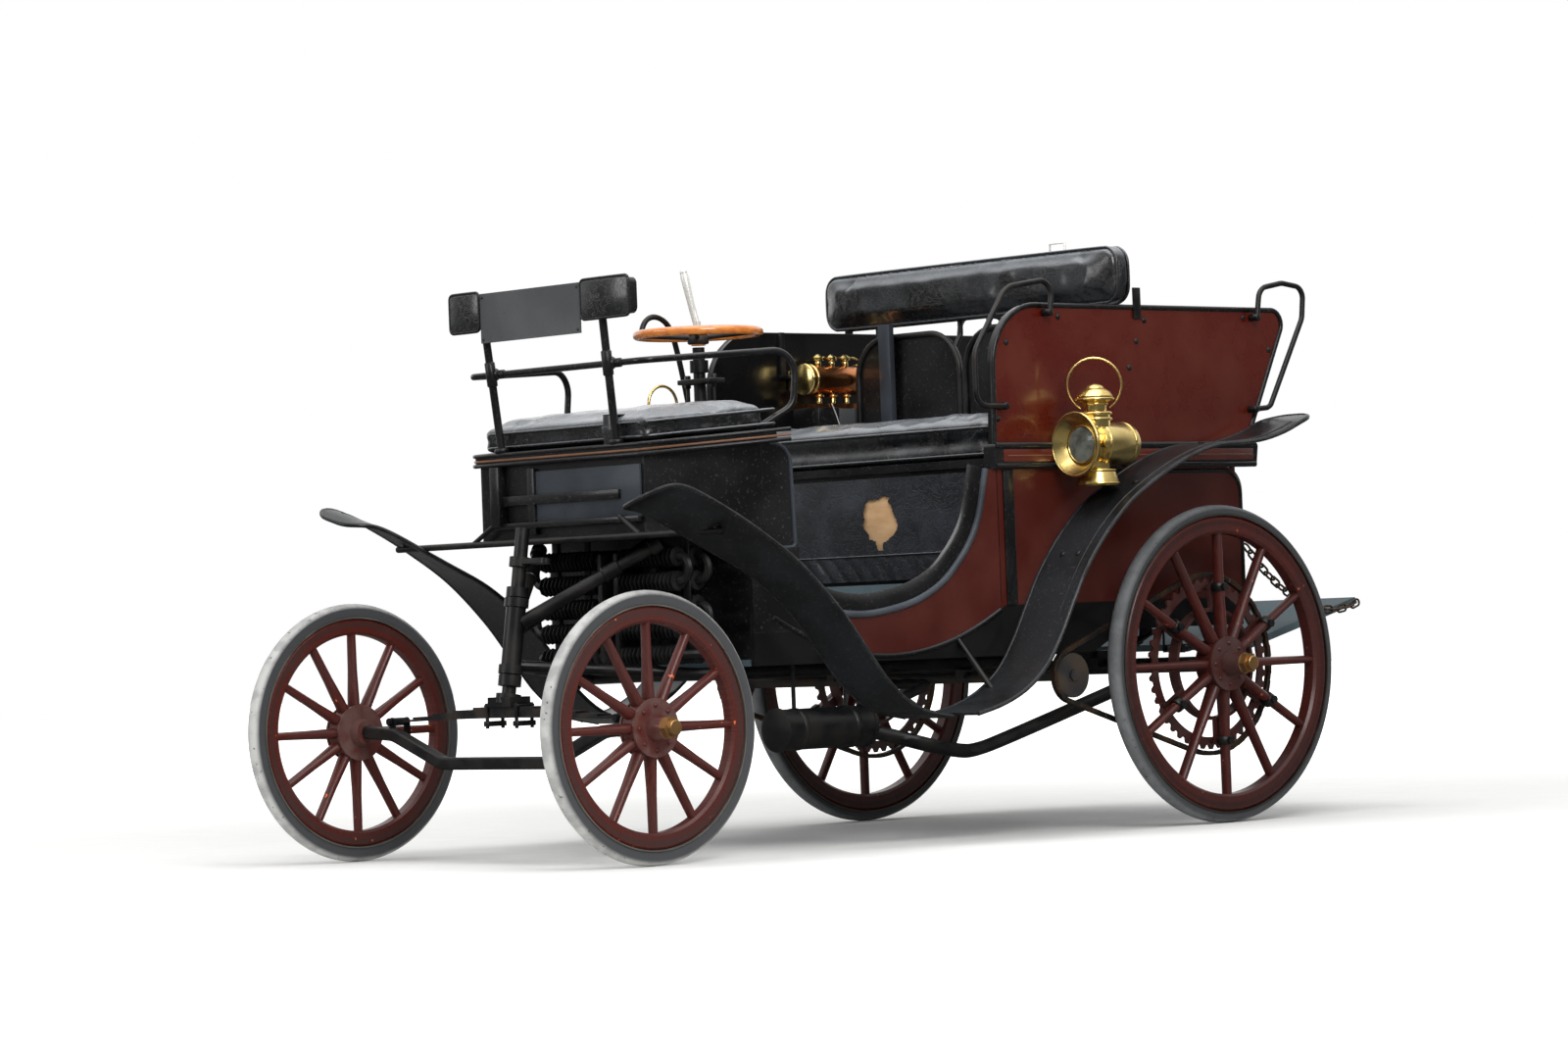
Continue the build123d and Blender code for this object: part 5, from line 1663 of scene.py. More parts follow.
    def _back(self, shop: Shop) -> None:
        """Irons, hoops round the arched backs, grey struts of the back rest and its buckle loop."""
        self._irons(shop)
        for name, sign in SIDES:
            outline = filleted(
                ((sign * 0.012, 1.06), (sign * 0.012, 1.448), (sign * 0.444, 1.448), (sign * 0.444, 1.06)),
                (0.120, 0.120), 10,
            )
            hoop = bar(f"back_hoop_{name}", [(x, 0.552, z) for x, z in outline], 0.009)
            shop.hang(hoop, "blackened_iron", 60)
            strut = block(
                f"back_strut_{name}", (sign * 0.271, 0.520, 1.150), (sign * 0.321, 0.540, 1.486), 0.003
            )
            shop.hang(strut, "strut_grey")
        buckle = bar(
            "pad_buckle",
            [(0.33, 0.600, 1.651), (0.33, 0.600, 1.674), (0.39, 0.600, 1.674), (0.39, 0.600, 1.651)],
            0.0030,
        )
        shop.hang(buckle, "lever_white", 50)


@dataclass
class Wings:
    """Four boards bent from a level tip down to the step, with wired edges, ribs, bolts and stays."""

    wire_r: float = 0.0065
    tip_r: float = 0.070
    thick: float = 0.008
    tilt: float = 0.052

    def build(self, shop: Shop) -> None:
        """Make and trim each wing."""
        # name, route from the tip, inner x, outer x
        for name, route, inner, outer in (
            ("front_wing", FRONT_WING, 0.556, 0.742),
            ("rear_wing", REAR_WING, 0.652, 0.830),
        ):
            points = curved(route, 5)
            for side, sign in SIDES:
                pieces = (
                    self._board(f"{name}_{side}", points, sign * inner, sign * outer),
                    self._wire(f"{name}_wire_{side}", points, sign * inner, sign * outer),
                    self._rib(f"{name}_rib_{side}", points, sign * (outer - 0.034)),
                    self._bolts(f"{name}_bolts_{side}", points, sign * (inner + outer) / 2),
                )
                if name == "front_wing":
                    for piece in pieces:
                        self._tilt(piece, inner, outer)
                for piece in pieces:
                    shop.hang(piece, "blackened_iron" if "bolts" in piece.name else "wing_black", 45)
                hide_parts(f"{name}_{side}")
        self._stays(shop)

    def _tilt(self, piece: Piece, inner: float, outer: float) -> None:
        """Lower the inner edge of a front wing towards its tip."""
        for vertex in piece.data.vertices:
            spot = piece.matrix_world @ vertex.co
            share = (outer - abs(spot.x)) / (outer - inner)
            vertex.co = piece.matrix_world.inverted() @ (
                spot - Vector((0, 0, self.tilt * share * smooth(-0.560, -1.050, spot.y)))
            )

    def _board(self, node: str, points: Route, inner: float, outer: float) -> Piece:
        """Board along the route with round corners at its tip, in place of the CAD's."""
        total = length_of(points)
        runs = [0.001, 0.004, 0.009, 0.016, 0.025, 0.036, 0.050, 0.068]
        count = round((total - 0.068) / 0.022)
        runs += [0.068 + (total - 0.068) * step / count for step in range(1, count + 1)]
        bpy.ops.object.select_all(action="DESELECT")
        bpy.ops.mesh.primitive_grid_add(x_subdivisions=len(runs) - 1, y_subdivisions=6, size=1)
        piece = bpy.context.object
        piece.name = f"{node}_board"
        middle, half = (inner + outer) / 2, abs(outer - inner) / 2
        for vertex in piece.data.vertices:
            run = runs[round((vertex.co.x + 0.5) * (len(runs) - 1))]
            short = self.tip_r - run
            reach = half - self.tip_r + math.sqrt(self.tip_r**2 - short**2) if short > 0 else half
            y, z = self._place(points, run, self.thick / 2)
            vertex.co = (middle + 2 * vertex.co.y * reach, y, z)
        apply_modifier(piece, "SOLIDIFY", thickness=self.thick, offset=0.0)
        return piece

    def _stays(self, shop: Shop) -> None:
        """Tie bar below the front wings, its posts and the stays from the body."""
        pieces = [bar("tie_bar", [(-0.690, -1.018, 0.860), (0.690, -1.018, 0.860)], 0.009)]
        for sign in (1, -1):
            pieces.append(bar("post", [(sign * 0.660, -1.018, 0.866), (sign * 0.660, -1.018, 0.878)], 0.007))
            # y, x and z at the body, x and z at the wing
            for y, body_x, body_z, wing_x, wing_z in (
                (-0.480, 0.468, 0.545, 0.590, 0.432),
                (0.300, 0.600, 0.760, 0.690, 0.852),
                (0.640, 0.600, 0.960, 0.700, 1.040),
                (-0.060, 0.567, 0.548, 0.690, 0.412),
            ):
                ends = [(sign * body_x, y, body_z), (sign * wing_x, y, wing_z)]
                pieces.append(bar("stay", ends, 0.008))
        stays = shop.hang(joined(pieces, "wing_stays"), "blackened_iron", 60)
        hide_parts("wing_irons")

    def _place(self, points: Route, run: float, drop: float) -> Flat:
        """Point (y, z) at a distance along the route, below its upper face."""
        for start, end in zip(points, points[1:]):
            line = Vector(end) - Vector(start)
            if run <= line.length or (start, end) == (points[-2], points[-1]):
                spot = Vector(start) + line.normalized() * min(run, line.length)
                return (spot.x, spot.y - drop)
            run -= line.length
        return points[-1]

    def _wire(self, name: str, points: Route, inner: float, outer: float) -> Piece:
        """Rolled edge down the inner side, round the tip and down the outer side."""
        total = length_of(points)
        out = 1 if outer > inner else -1
        runs = [total - 0.002 - step * (total - self.tip_r) / 60 for step in range(60)]
        edge = [(inner, run) for run in runs]
        for centre_x, start in ((inner + out * self.tip_r, 180), (outer - out * self.tip_r, 90)):
            for step in range(7):
                angle = math.radians(start - 15 * step)
                run = self.tip_r - self.tip_r * math.sin(angle)
                edge.append((centre_x + out * self.tip_r * math.cos(angle), run))
        edge += [(outer, run) for run in reversed(runs)]
        route = [(x, *self._place(points, max(run, 0.0), 0.004)) for x, run in edge]
        return bar(name, route, self.wire_r)

    def _rib(self, name: str, points: Route, x: float) -> Piece:
        """Thin rib pressed along the outer edge."""
        route = [(x, *self._place(points, 0.08 + 0.03 * step, -0.0004)) for step in range(40)]
        return bar(name, route, 0.0022)

    def _bolts(self, name: str, points: Route, x: float) -> Piece:
        """Pairs of bolt heads over the stays."""
        heads = []
        for run in (0.38, 0.74, 1.05):
            y, z = self._place(points, run, 0.0005)
            ahead = self._place(points, run + 0.01, 0.0005)
            normal = Vector((0, z - ahead[1], ahead[0] - y)).normalized()
            if normal.z < 0:
                normal.negate()
            for offset in (-0.03, 0.03):
                heads.append(turned("head", [(0.009, 0), (0.009, 0.004), (0.006, 0.006)], (x + offset, y, z),
                                    tuple(normal), 6))
        return joined(heads, name)


@dataclass
class Bench:
    """Trim of the front bench: copper line, number board pads, rail fittings, strap and nose irons."""

    post_x: float = 0.247
    rail_z: float = 1.325

    def build(self, shop: Shop) -> None:
        """Add every piece of the bench's trim."""
        self._seat_line(shop)
        self._fittings(shop)
        self._board(shop)
        self._strap(shop)
        self._nose(shop)

    def _seat_line(self, shop: Shop) -> None:
        """Thin copper line and two black beads round the bench's moulding."""
        # name, rise above the seat's lower edge, reach, radius, finish
        for name, rise, reach, radius, finish in (
            ("seat_line", 0.015, 0.0, 0.0035, "line_copper"),
            ("seat_top_bead", 0.030, 0.001, 0.0055, "coach_black"),
            ("seat_low_bead", 0.003, 0.001, 0.0060, "coach_black"),
        ):
            route = []
            for x, y in (
                (-0.510, -0.604), (-0.359, -0.994), (-0.340, -1.0025),
                (0.340, -1.0025), (0.359, -0.994), (0.510, -0.604),
            ):
                wide = x + math.copysign(reach, x)
                route.append((wide, y - reach, bench_z(y, rise)))
            shop.hang(bar(name, route, radius), finish, 60)

    def _fittings(self, shop: Shop) -> None:
        """Cross fittings where the rail meets the board's posts, and the posts' feet."""
        pieces = []
        for sign in (1, -1):
            x, z, lean = sign * self.post_x, self.rail_z, sign * 0.0007
            pieces += [
                ball("knob", (x, -1.006, z), 0.0185),
                sleeve("rail_sleeve", (x - 0.030, -0.995, z), (x + 0.030, -0.995, z), 0.0125),
                sleeve("post_sleeve", (x - lean, -1.0132, z - 0.034), (x + lean, -1.0208, z + 0.034), 0.0145),
                sleeve("foot", (sign * 0.243, -0.9915, 1.1085), (sign * 0.2434, -0.993, 1.122), 0.020),
            ]
        shop.hang(joined(pieces, "rail_fittings"), "blackened_iron", 50)

    def _board(self, shop: Shop) -> None:
        """Leather pads at both ends of the number board, each with a piped frame, and the plate's pins."""
        for name, low_x, high_x in (("left", 0.182, 0.380), ("right", -0.380, -0.252)):
            pad = block(f"board_pad_{name}", (low_x, -1.050, 1.446), (high_x, -1.0425, 1.549), 0.005)
            shop.hang(pad, "seat_leather", 50)
            frame = rounded((low_x, 1.444), (high_x, 1.551), 0.014, lambda a, b: (a, -1.0470, b))
            shop.hang(bar(f"board_frame_{name}", frame, 0.0042, closed=True, smooth=True), "coach_black", 60)
        pins = [turned("pin", [(0.0045, 0), (0.003, 0.0025), (0.001, 0.003)], (x, -1.0464, z), (0, -1, 0), 10)
                for x, z in ((-0.238, 1.535), (0.166, 1.535), (-0.238, 1.420), (0.166, 1.420))]
        shop.hang(joined(pins, "plate_pins"), "spring_steel", 50)

    def _strap(self, shop: Shop) -> None:
        """Leather strap round the cushion beside the left post."""
        rise = bench_z(-0.975, 0.0)
        band = [block("strap_front", (0.188, -0.9905, rise + 0.030), (0.222, -0.986, rise + 0.112), 0.0015),
                block("strap_top", (0.188, -0.9905, rise + 0.110), (0.222, -0.905, rise + 0.1145), 0.0015),
                block("strap_buckle", (0.184, -0.993, rise + 0.060), (0.226, -0.989, rise + 0.082), 0.0015)]
        shop.hang(joined(band, "cushion_strap"), "seat_leather", 50)

    def _nose(self, shop: Shop) -> None:
        """Boards, battens and the bracket below the bench's nose."""
        # name, finish, low corner, high corner
        for name, finish, low, high in (
            ("nose_board", "strut_grey", (-0.110, -0.994, 0.900), (0.335, -0.9865, 1.052)),
            ("nose_batten", "coach_black", (-0.250, -1.003, 0.962), (0.255, -0.993, 0.988)),
            ("nose_rail", "coach_black", (-0.262, -1.006, 0.898), (0.335, -0.9865, 0.914)),
            ("nose_plate", "coach_black", (-0.276, -1.014, 0.905), (-0.238, -0.9865, 1.070)),
            ("nose_post", "coach_black", (-0.128, -1.002, 0.880), (-0.100, -0.990, 1.060)),
        ):
            shop.hang(block(name, low, high, 0.002), finish)
        rods = [
            bar("nose_rod", [(sign * 0.262, -1.006, 0.915), (sign * 0.350, -1.016, 0.864)], 0.007)
            for sign in (1, -1)
        ]
        shop.hang(joined(rods, "nose_rods"), "blackened_iron", 50)


@dataclass
class Lamps:
    """Brass oil side lamps: bodies, rims, glass, carrying ring and small fittings."""

    def build(self, shop: Shop) -> None:
        """Dress and detail both lamps."""
        self._bodies(shop)
        boss = [(0.014, 0), (0.014, 0.006), (0.008, 0.009)]
        dome = [(0.030, 0), (0.024, 0.008), (0.010, 0.014), (0.001, 0.016)]
        for side, sign in SIDES:
            x, y, z = sign * LAMP[0], LAMP[1], LAMP[2]
            front = y - 0.088
            pieces = [
                ring("bell_rim", (x, front + 0.003, z), 0.0885, 0.0042),
                ring("glass_rim", (x, front + 0.030, z), 0.0525, 0.0040),
                ring("drum_band", (x, front + 0.088, z), 0.0620, 0.0030),
                ring("drum_end", (x, front + 0.188, z), 0.0600, 0.0035),
                ring("shoulder", (x, y, z + 0.070), 0.0445, 0.0045, (0, 0, 1)),
                ring("collar", (x, y, z + 0.086), 0.0440, 0.0050, (0, 0, 1)),
                ring("neck", (x, y, z + 0.112), 0.0350, 0.0030, (0, 0, 1)),
                ring("cap_rim", (x, y, z + 0.126), 0.0525, 0.0035, (0, 0, 1)),
                ring("font_top", (x, y, z - 0.074), 0.0505, 0.0040, (0, 0, 1)),
                ring("font_foot", (x, y, z - 0.110), 0.0595, 0.0035, (0, 0, 1)),
                turned("boss", boss, (x + sign * 0.060, y - 0.02, z), (sign, 0, 0), 16),
                turned("cap_dome", dome, (x, y, z + 0.155), (0, 0, 1), 20),
                ring("carrying_ring", (x, y, z + 0.166), 0.0760, 0.0032, (0.74 * sign, -0.67, 0), (-58, 238)),
            ]
            shop.hang(joined(pieces, f"lamp_fittings_{side}"), "lamp_brass", 50)
            glass = turned(
                f"lamp_glass_{side}", [(0.050, 0.0), (0.050, 0.004), (0.034, 0.008), (0.001, 0.010)],
                (x, front + 0.034, z), (0, -1, 0), 32,
            )
            shop.hang(glass, "lamp_glass", 50)

    def _bodies(self, shop: Shop) -> None:
        """Bell, drum, chimney, font and bracket of both lamps, in place of the CAD's."""
        bell = ((0.050, 0.038), (0.081, 0.002), (0.087, 0.0), (0.090, 0.006), (0.086, 0.016), (0.072, 0.030),
                (0.060, 0.046), (0.058, 0.068), (0.062, 0.070), (0.062, 0.200), (0.056, 0.210), (0.040, 0.216),
                (0.001, 0.217))
        chimney = (
            (0.042, 0.040), (0.042, 0.084), (0.033, 0.096), (0.033, 0.112), (0.050, 0.122),
            (0.052, 0.134), (0.044, 0.146), (0.030, 0.156), (0.012, 0.160), (0.001, 0.1605),
        )
        font = ((0.036, 0.040), (0.036, 0.068), (0.050, 0.074), (0.056, 0.092), (0.061, 0.112), (0.059, 0.116),
                (0.001, 0.1165))
        pieces = []
        for sign in (1, -1):
            x, y, z = sign * LAMP[0], LAMP[1], LAMP[2]
            pieces += [
                turned("bell", bell, (x, y - 0.088, z), (0, 1, 0), 48),
                turned("chimney", chimney, (x, y, z), (0, 0, 1), 40),
                turned("font", font, (x, y, z), (0, 0, -1), 40),
                block(
                    "bracket", (sign * 0.614, y + 0.022, z - 0.032), (sign * 0.664, y + 0.046, z - 0.008), 0.003
                ),
            ]
        lamps = shop.hang(joined(pieces, "lamp_bodies"), "lamp_brass", 32)
        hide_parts("side_lamps")


@dataclass
class Lubricator:
    """Drip lubricator: copper barrel with brass ends, caps, drips and pipes."""

    def build(self, shop: Shop) -> None:
        """Dress the barrel and add its brass pieces."""
        shop.dress("tube_copper", "lubricator")
        x, z = LUBRICATOR
        brass = [
            turned("end_disc", [(0.0465, 0), (0.048, 0.002), (0.048, 0.006), (0.045, 0.009), (0.001, 0.010)],
                   (x, 0.3865, z), (0, -1, 0), 40),
            ring("end_ring", (x, 0.402, z), 0.0430, 0.0045),
            ring("far_ring", (x, 0.596, z), 0.0430, 0.0050),
            block("end_lug", (x - 0.075, 0.384, z - 0.030), (x - 0.040, 0.400, z + 0.030), 0.004),
        ]
        foot = [(0.013, 0), (0.013, 0.010), (0.009, 0.014)]
        for y in (0.440, 0.495, 0.550):
            brass += [
                turned("cap", [(0.016, 0), (0.017, 0.003), (0.017, 0.009), (0.012, 0.013), (0.005, 0.018)],
                       (x, y, z + 0.057), (0, 0, 1), 16),
                sleeve("neck", (x, y, z + 0.036), (x, y, z + 0.058), 0.010),
                ring("drip_nut", (x, y, z - 0.048), 0.011, 0.0045, (0, 0, 1)),
                sleeve("drip", (x, y, z - 0.090), (x, y, z - 0.050), 0.0085),
                turned("drip_foot", foot, (x, y, z - 0.100), (0, 0, 1), 6),
            ]
            route = [(x, y, z + 0.060), (x + 0.012, y + 0.02, z + 0.072), (x + 0.004, y + 0.048, z + 0.060)]
            brass.append(bar("pipe", route, 0.0028, smooth=True))
        shop.hang(joined(brass, "lubricator_brass"), "lamp_brass", 45)
        box = block("lubricator_box", (x - 0.079, 0.410, 1.178), (x + 0.034, 0.586, 1.248), 0.003)
        shop.hang(box, "plate_grey")
        cover = block("lubricator_cover", (x - 0.081, 0.404, 1.176), (x + 0.036, 0.488, 1.251), 0.003)
        shop.hang(cover, "coach_black")
        route = [(x + 0.038, 0.455, 1.262), (x + 0.041, 0.475, 1.22), (x + 0.041, 0.492, 1.165)]
        wire = bar("lubricator_wire", route, 0.0018, smooth=True)
        shop.hang(wire, "lever_white", 50)
        irons = [
            block("bracket_arm", (x - 0.078, 0.352, 1.352), (x - 0.066, 0.372, 1.480), 0.002),
            block("bracket_foot", (x - 0.078, 0.352, 1.340), (x - 0.036, 0.398, 1.352), 0.002),
        ]
        shop.hang(joined(irons, "lubricator_bracket"), "blackened_iron")


@dataclass
class Controls:
    """Steering column, its clamps, the brake lever, the horn and the hand wheel's fittings."""

    def build(self, shop: Shop) -> None:
        """Dress and detail the controls."""
        shop.dress("blackened_iron", "steering_column")
        shop.dress("rim_varnish", "steering_wheel")
        shop.dress("lever_white", "hand_lever")
        y = COLUMN_Y
        irons = [
            block("clamp", (-0.062, y - 0.030, 1.286), (0.074, y + 0.030, 1.300), 0.003),
            sleeve("clamp_bolt_a", (-0.050, y, 1.276), (-0.050, y, 1.312), 0.009, 6),
            sleeve("clamp_bolt_b", (0.060, y, 1.276), (0.060, y, 1.312), 0.009, 6),
            bar("rod_a", [(-0.050, y, 0.52), (-0.050, y, 1.290)], 0.0055),
            bar("rod_b", [(0.060, y, 1.05), (0.060, y, 1.290)], 0.0045),
            block("low_clamp", (-0.060, y - 0.024, 1.040), (0.070, y + 0.024, 1.052), 0.003),
        ]
        shop.hang(joined(irons, "column_irons"), "blackened_iron", 50)
        route = (
            (-0.505, 1.425), (-0.500, 1.468), (-0.455, 1.495), (-0.398, 1.470),
            (-0.372, 1.400), (-0.335, 1.240), (-0.300, 1.050), (-0.290, 0.516),
        )
        lever = bar("brake_lever", [(-0.207, *point) for point in route], 0.008, smooth=True)
        shop.hang(lever, "blackened_iron", 60)
        stem = [(0.0, y, 1.170), (-0.030, -0.510, 1.172), (-0.060, -0.560, 1.182)]
        horn = [
            ring("horn_ring", (-0.060, -0.560, 1.232), 0.052, 0.0042, (1, 0, 0)),
            bar("horn_stem", stem, 0.005, smooth=True),
        ]
        shop.hang(joined(horn, "horn_ring"), "lamp_brass", 50)
        bulb = ball("horn_bulb", (-0.060, -0.512, 1.205), 0.027)
        shop.hang(bulb, "lever_white", 60)
        hub = [
            sleeve("hub_low", (0, y, RIM_Z - 0.030), (0, y, RIM_Z - 0.006), 0.030),
            sleeve("hub_top", (0, y, RIM_Z + 0.006), (0, y, RIM_Z + 0.0135), 0.026),
            ring("hub_ring", (0, y, RIM_Z), 0.024, 0.004, (0, 0, 1)),
        ]
        for turn in range(4):
            angle = math.radians(45 + 90 * turn)
            hub.append(bar("spoke", [
                (0.018 * math.cos(angle), y + 0.018 * math.sin(angle), RIM_Z - 0.011),
                (0.156 * math.cos(angle), y + 0.156 * math.sin(angle), RIM_Z - 0.001),
            ], 0.0072))
        shop.hang(joined(hub, "hand_wheel_hub"), "spring_steel", 50, Body.HAND_WHEEL)
        grip = turned(
            "lever_grip", ((0.0070, 0.0), (0.0085, 0.040), (0.0115, 0.120), (0.0120, 0.150), (0.0090, 0.163)),
            (-0.0015, y - 0.0015, RIM_Z + 0.012), (-0.026, -0.022, 0.172), 20,
        )
        shop.hang(grip, "lever_white", 60, Body.HAND_WHEEL)
        tip = ball("lever_tip", (-0.026, y - 0.022, RIM_Z + 0.172), 0.0105)
        shop.hang(tip, "lever_white", 60, Body.HAND_WHEEL)


@dataclass
class Running:
    """Running gear: spring clips, spoke clips, chain plates, radiator, silencer and head braces."""

    tube_r: float = 0.012
    tube_x: float = 0.030
    bend_x: float = 0.292
    bend_r: float = 0.033
    chain_x: float = 0.6955

    def build(self, shop: Shop) -> None:
        """Dress and detail the machinery."""
        shop.dress("blackened_iron", "king_post", "front_axle", "chassis_frame", "rear_axle")
        shop.dress("spring_steel", "front_spring")
        shop.dress("engine_iron", "engine_block", "countershaft")
        self._front(shop)
        self._spoke_clips(shop)
        self._drive_chain(shop)
        self._radiator(shop)
        self._silencer(shop)
        self._braces(shop)

    def _braces(self, shop: Shop) -> None:
        """Pair of stepped braces from the head tube to the underside of the bench."""
        pieces = []
        for sign in (1, -1):
            low, high = Vector((sign * 0.014, -1.158, 0.640)), Vector((sign * 0.252, -0.866, 0.838))
            # share of the length where a part starts and ends, radius
            for start, end, radius in (
                (0.0, 0.62, 0.018), (0.60, 0.72, 0.0215), (0.70, 1.0, 0.016), (0.94, 1.02, 0.022),
            ):
                ends = tuple(low.lerp(high, start)), tuple(low.lerp(high, end))
                pieces.append(sleeve("brace", *ends, radius))
        shop.hang(joined(pieces, "head_braces"), "blackened_iron", 40)

    def _radiator(self, shop: Shop) -> None:
        """Gilled tubes of both banks with their return bends, headers and straps."""
        banks = (-0.822, -0.754)
        rows = [0.540 + 0.066 * row for row in range(5)]
        angles = [math.radians(-90 + 15 * step) for step in range(13)]
        gill = turned("gill", ((0.026, 0.0), (0.028, 0.0005), (0.028, 0.0025), (0.026, 0.003)),
                      (0.056, banks[0], rows[0]), (1, 0, 0), 8)
        moves = [
            Matrix.Translation((0.017 * step, y - banks[0], z - rows[0]))
            for y in banks for z in rows for step in range(14)
        ]
        pieces = [copied(gill, moves[1:], "gills")]
        for y in banks:
            for low, high in ((rows[1], rows[2]), (rows[3], rows[4])):
                middle = (low + high) / 2
                bend = [
                    (self.bend_x + self.bend_r * math.cos(angle), middle + self.bend_r * math.sin(angle))
                    for angle in angles
                ]
                route = [(self.tube_x, low), *bend, (self.tube_x, high)]
                pieces.append(bar("tube", [(x, y, z) for x, z in route], self.tube_r))
            ends = [(self.tube_x, y, rows[0]), (self.bend_x, y, rows[0])]
            pieces.append(bar("stub", ends, self.tube_r))
        low_bend = [
            (self.bend_x + 0.034 * math.cos(angle), -0.788 + 0.034 * math.sin(angle), rows[0])
            for angle in angles
        ]
        pieces.append(bar("low_bend", low_bend, self.tube_r))
        pieces.append(block("header", (0.022, -0.839, 0.520), (0.044, -0.737, 0.824), 0.010))
        for x in (0.126, 0.262):
            pieces.append(block("strap", (x, -0.7915, 0.526), (x + 0.026, -0.7845, 1.090), 0.002))
        half = joined(pieces, "radiator_gilled")
        whole = copied(half, [mirror_x()], "radiator_gilled")
        shop.hang(whole, "radiator_black", 40)
        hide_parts("radiator")

    def _silencer(self, shop: Shop) -> None:
        """Silencer below the floor on the left, its inlet from the engine and its tail pipe."""
        x, z = 0.400, 0.324
        drum = (
            (0.050, 0.0), (0.060, 0.002), (0.060, 0.010), (0.056, 0.012),
            (0.056, 0.320), (0.060, 0.322), (0.060, 0.330), (0.050, 0.332),
        )
        pieces = [turned("silencer", drum, (x, -0.600, z), (0, 1, 0), 36)]
        for y in (-0.530, -0.338):
            pieces.append(sleeve("band", (x, y - 0.010, z), (x, y + 0.010, z), 0.058, 36))
            pieces.append(bar("hanger", [(x, y, z + 0.050), (x, y, 0.500)], 0.006))
        inlet = ((0.150, 0.0, 0.430), (0.340, 0.0, 0.430), (0.392, -0.010, 0.428), (0.392, -0.060, 0.412),
                 (0.392, -0.278, 0.344))
        tail = ((0.414, -0.278, 0.312), (0.500, -0.225, 0.286), (0.570, -0.180, 0.262), (0.600, -0.110, 0.246),
                (0.606, -0.060, 0.243), (0.612, 0.050, 0.268), (0.624, 0.487, 0.388))
        pieces += [
            bar("inlet", inlet, 0.014, smooth=True),
            bar("tail_pipe", tail, 0.020, smooth=True),
            bar("pipe_rod", [(0.200, 0.0, 0.430), (0.200, 0.0, 0.500)], 0.006),
        ]
        silencer = shop.hang(joined(pieces, "exhaust_run"), "blackened_iron", 45)
        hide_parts("exhaust_pipe")

    def _front(self, shop: Shop) -> None:
        """Clips over the front spring and nuts on its shackles."""
        pieces = []
        for x in (-0.062, 0.062):
            pieces += [
                block("clip_top", (x - 0.011, -1.226, 0.4175), (x + 0.011, -1.168, 0.4245), 0.002),
                bar("clip_a", [(x, -1.2235, 0.360), (x, -1.2235, 0.428)], 0.005),
                bar("clip_b", [(x, -1.1705, 0.360), (x, -1.1705, 0.428)], 0.005),
                block("clip_low", (x - 0.012, -1.228, 0.366), (x + 0.012, -1.166, 0.380), 0.002),
            ]
        for sign in (1, -1):
            for z in (0.383, 0.345):
                place = (sign * 0.480, -1.229, z)
                pieces.append(turned("nut", [(0.011, 0), (0.011, 0.008)], place, (0, -1, 0), 6))
        shop.hang(joined(pieces, "spring_clips"), "blackened_iron", 40, Body.STEERING)

    def _spoke_clips(self, shop: Shop) -> None:
        """Black collars that hold the toothed ring to every second rear spoke."""
        for side, sign in SIDES:
            x = sign * REAR_HALF_TRACK
            y, z = REAR_AXLE[0], REAR_AXLE[1] + 0.218
            collar = sleeve("collar", (x, y, z - 0.012), (x, y, z + 0.012), 0.0215, 16)
            nut = turned("nut", [(0.012, 0), (0.012, 0.010)], (x + sign * 0.018, y, z), (sign, 0, 0), 6)
            turns = [around_x(REAR_AXLE, 60 * step) for step in range(1, 6)]
            clips = copied(joined([collar, nut], "clip"), turns, f"rear_{side}_spoke_clips")
            shop.hang(clips, "blackened_iron", 45, Body(f"rear_{side}"))

    def _drive_chain(self, shop: Shop) -> None:
        """Side plates over each driving chain's band."""
        shop.dress("chain_steel", "drive_chains")
        route = [Vector(point) for point in self._chain_route()]
        half = (route[1] - route[0]).length * 0.62
        for side, sign in SIDES:
            x = sign * self.chain_x
            low, high = (x + sign * 0.0065, -half, -0.0065), (x + sign * 0.0085, half, 0.0065)
            link = block("link", low, high, 0.0008, 1)
            moves = []
            for number, (here, after) in enumerate(zip(route, [*route[1:], route[0]])):
                middle, ahead = (here + after) / 2, after - here
                place = Matrix.Translation((0.0016 * sign * (number % 2), middle.x, middle.y))
                moves.append(place @ Matrix.Rotation(math.atan2(ahead.y, ahead.x), 4, "X"))
            shop.hang(strung(link, moves, f"chain_links_{side}"), "chain_steel")

    def _chain_route(self) -> list[Flat]:
        """Evenly spaced points (y, z) along the middle of the chain's loop."""
        big, small = 0.2545, 0.0735
        far, near = Vector(REAR_AXLE), Vector((0.250, 0.438))
        gap = (far - near).length
        lean = math.atan2(far.y - near.y, far.x - near.x)
        opening = math.asin((big - small) / gap)
        top = math.pi / 2 + opening + lean
        low = -math.pi / 2 - opening + lean
        line = []
        for centre, radius, start, end in (
            (near, small, top, low + 2 * math.pi),
            (far, big, low, top),
        ):
            for step in range(25):
                angle = start + (end - start) * step / 24
                line.append(centre + radius * Vector((math.cos(angle), math.sin(angle))))
        return spaced(line, 0.0254)


def spaced(line: Sequence[Vector], step: float) -> list[Flat]:
    """Points at equal steps along a closed flat line."""
    ends = [*line[1:], line[0]]
    lengths = [(end - start).length for start, end in zip(line, ends)]
    total = sum(lengths)
    count = round(total / step)
    found = []
    number, passed = 0, 0.0
    for item in range(count):
        run = total * item / count
        while run > passed + lengths[number]:
            passed += lengths[number]
            number += 1
        share = (run - passed) / lengths[number] if lengths[number] else 0
        spot = line[number].lerp(ends[number], share)
        found.append((spot.x, spot.y))
    return found


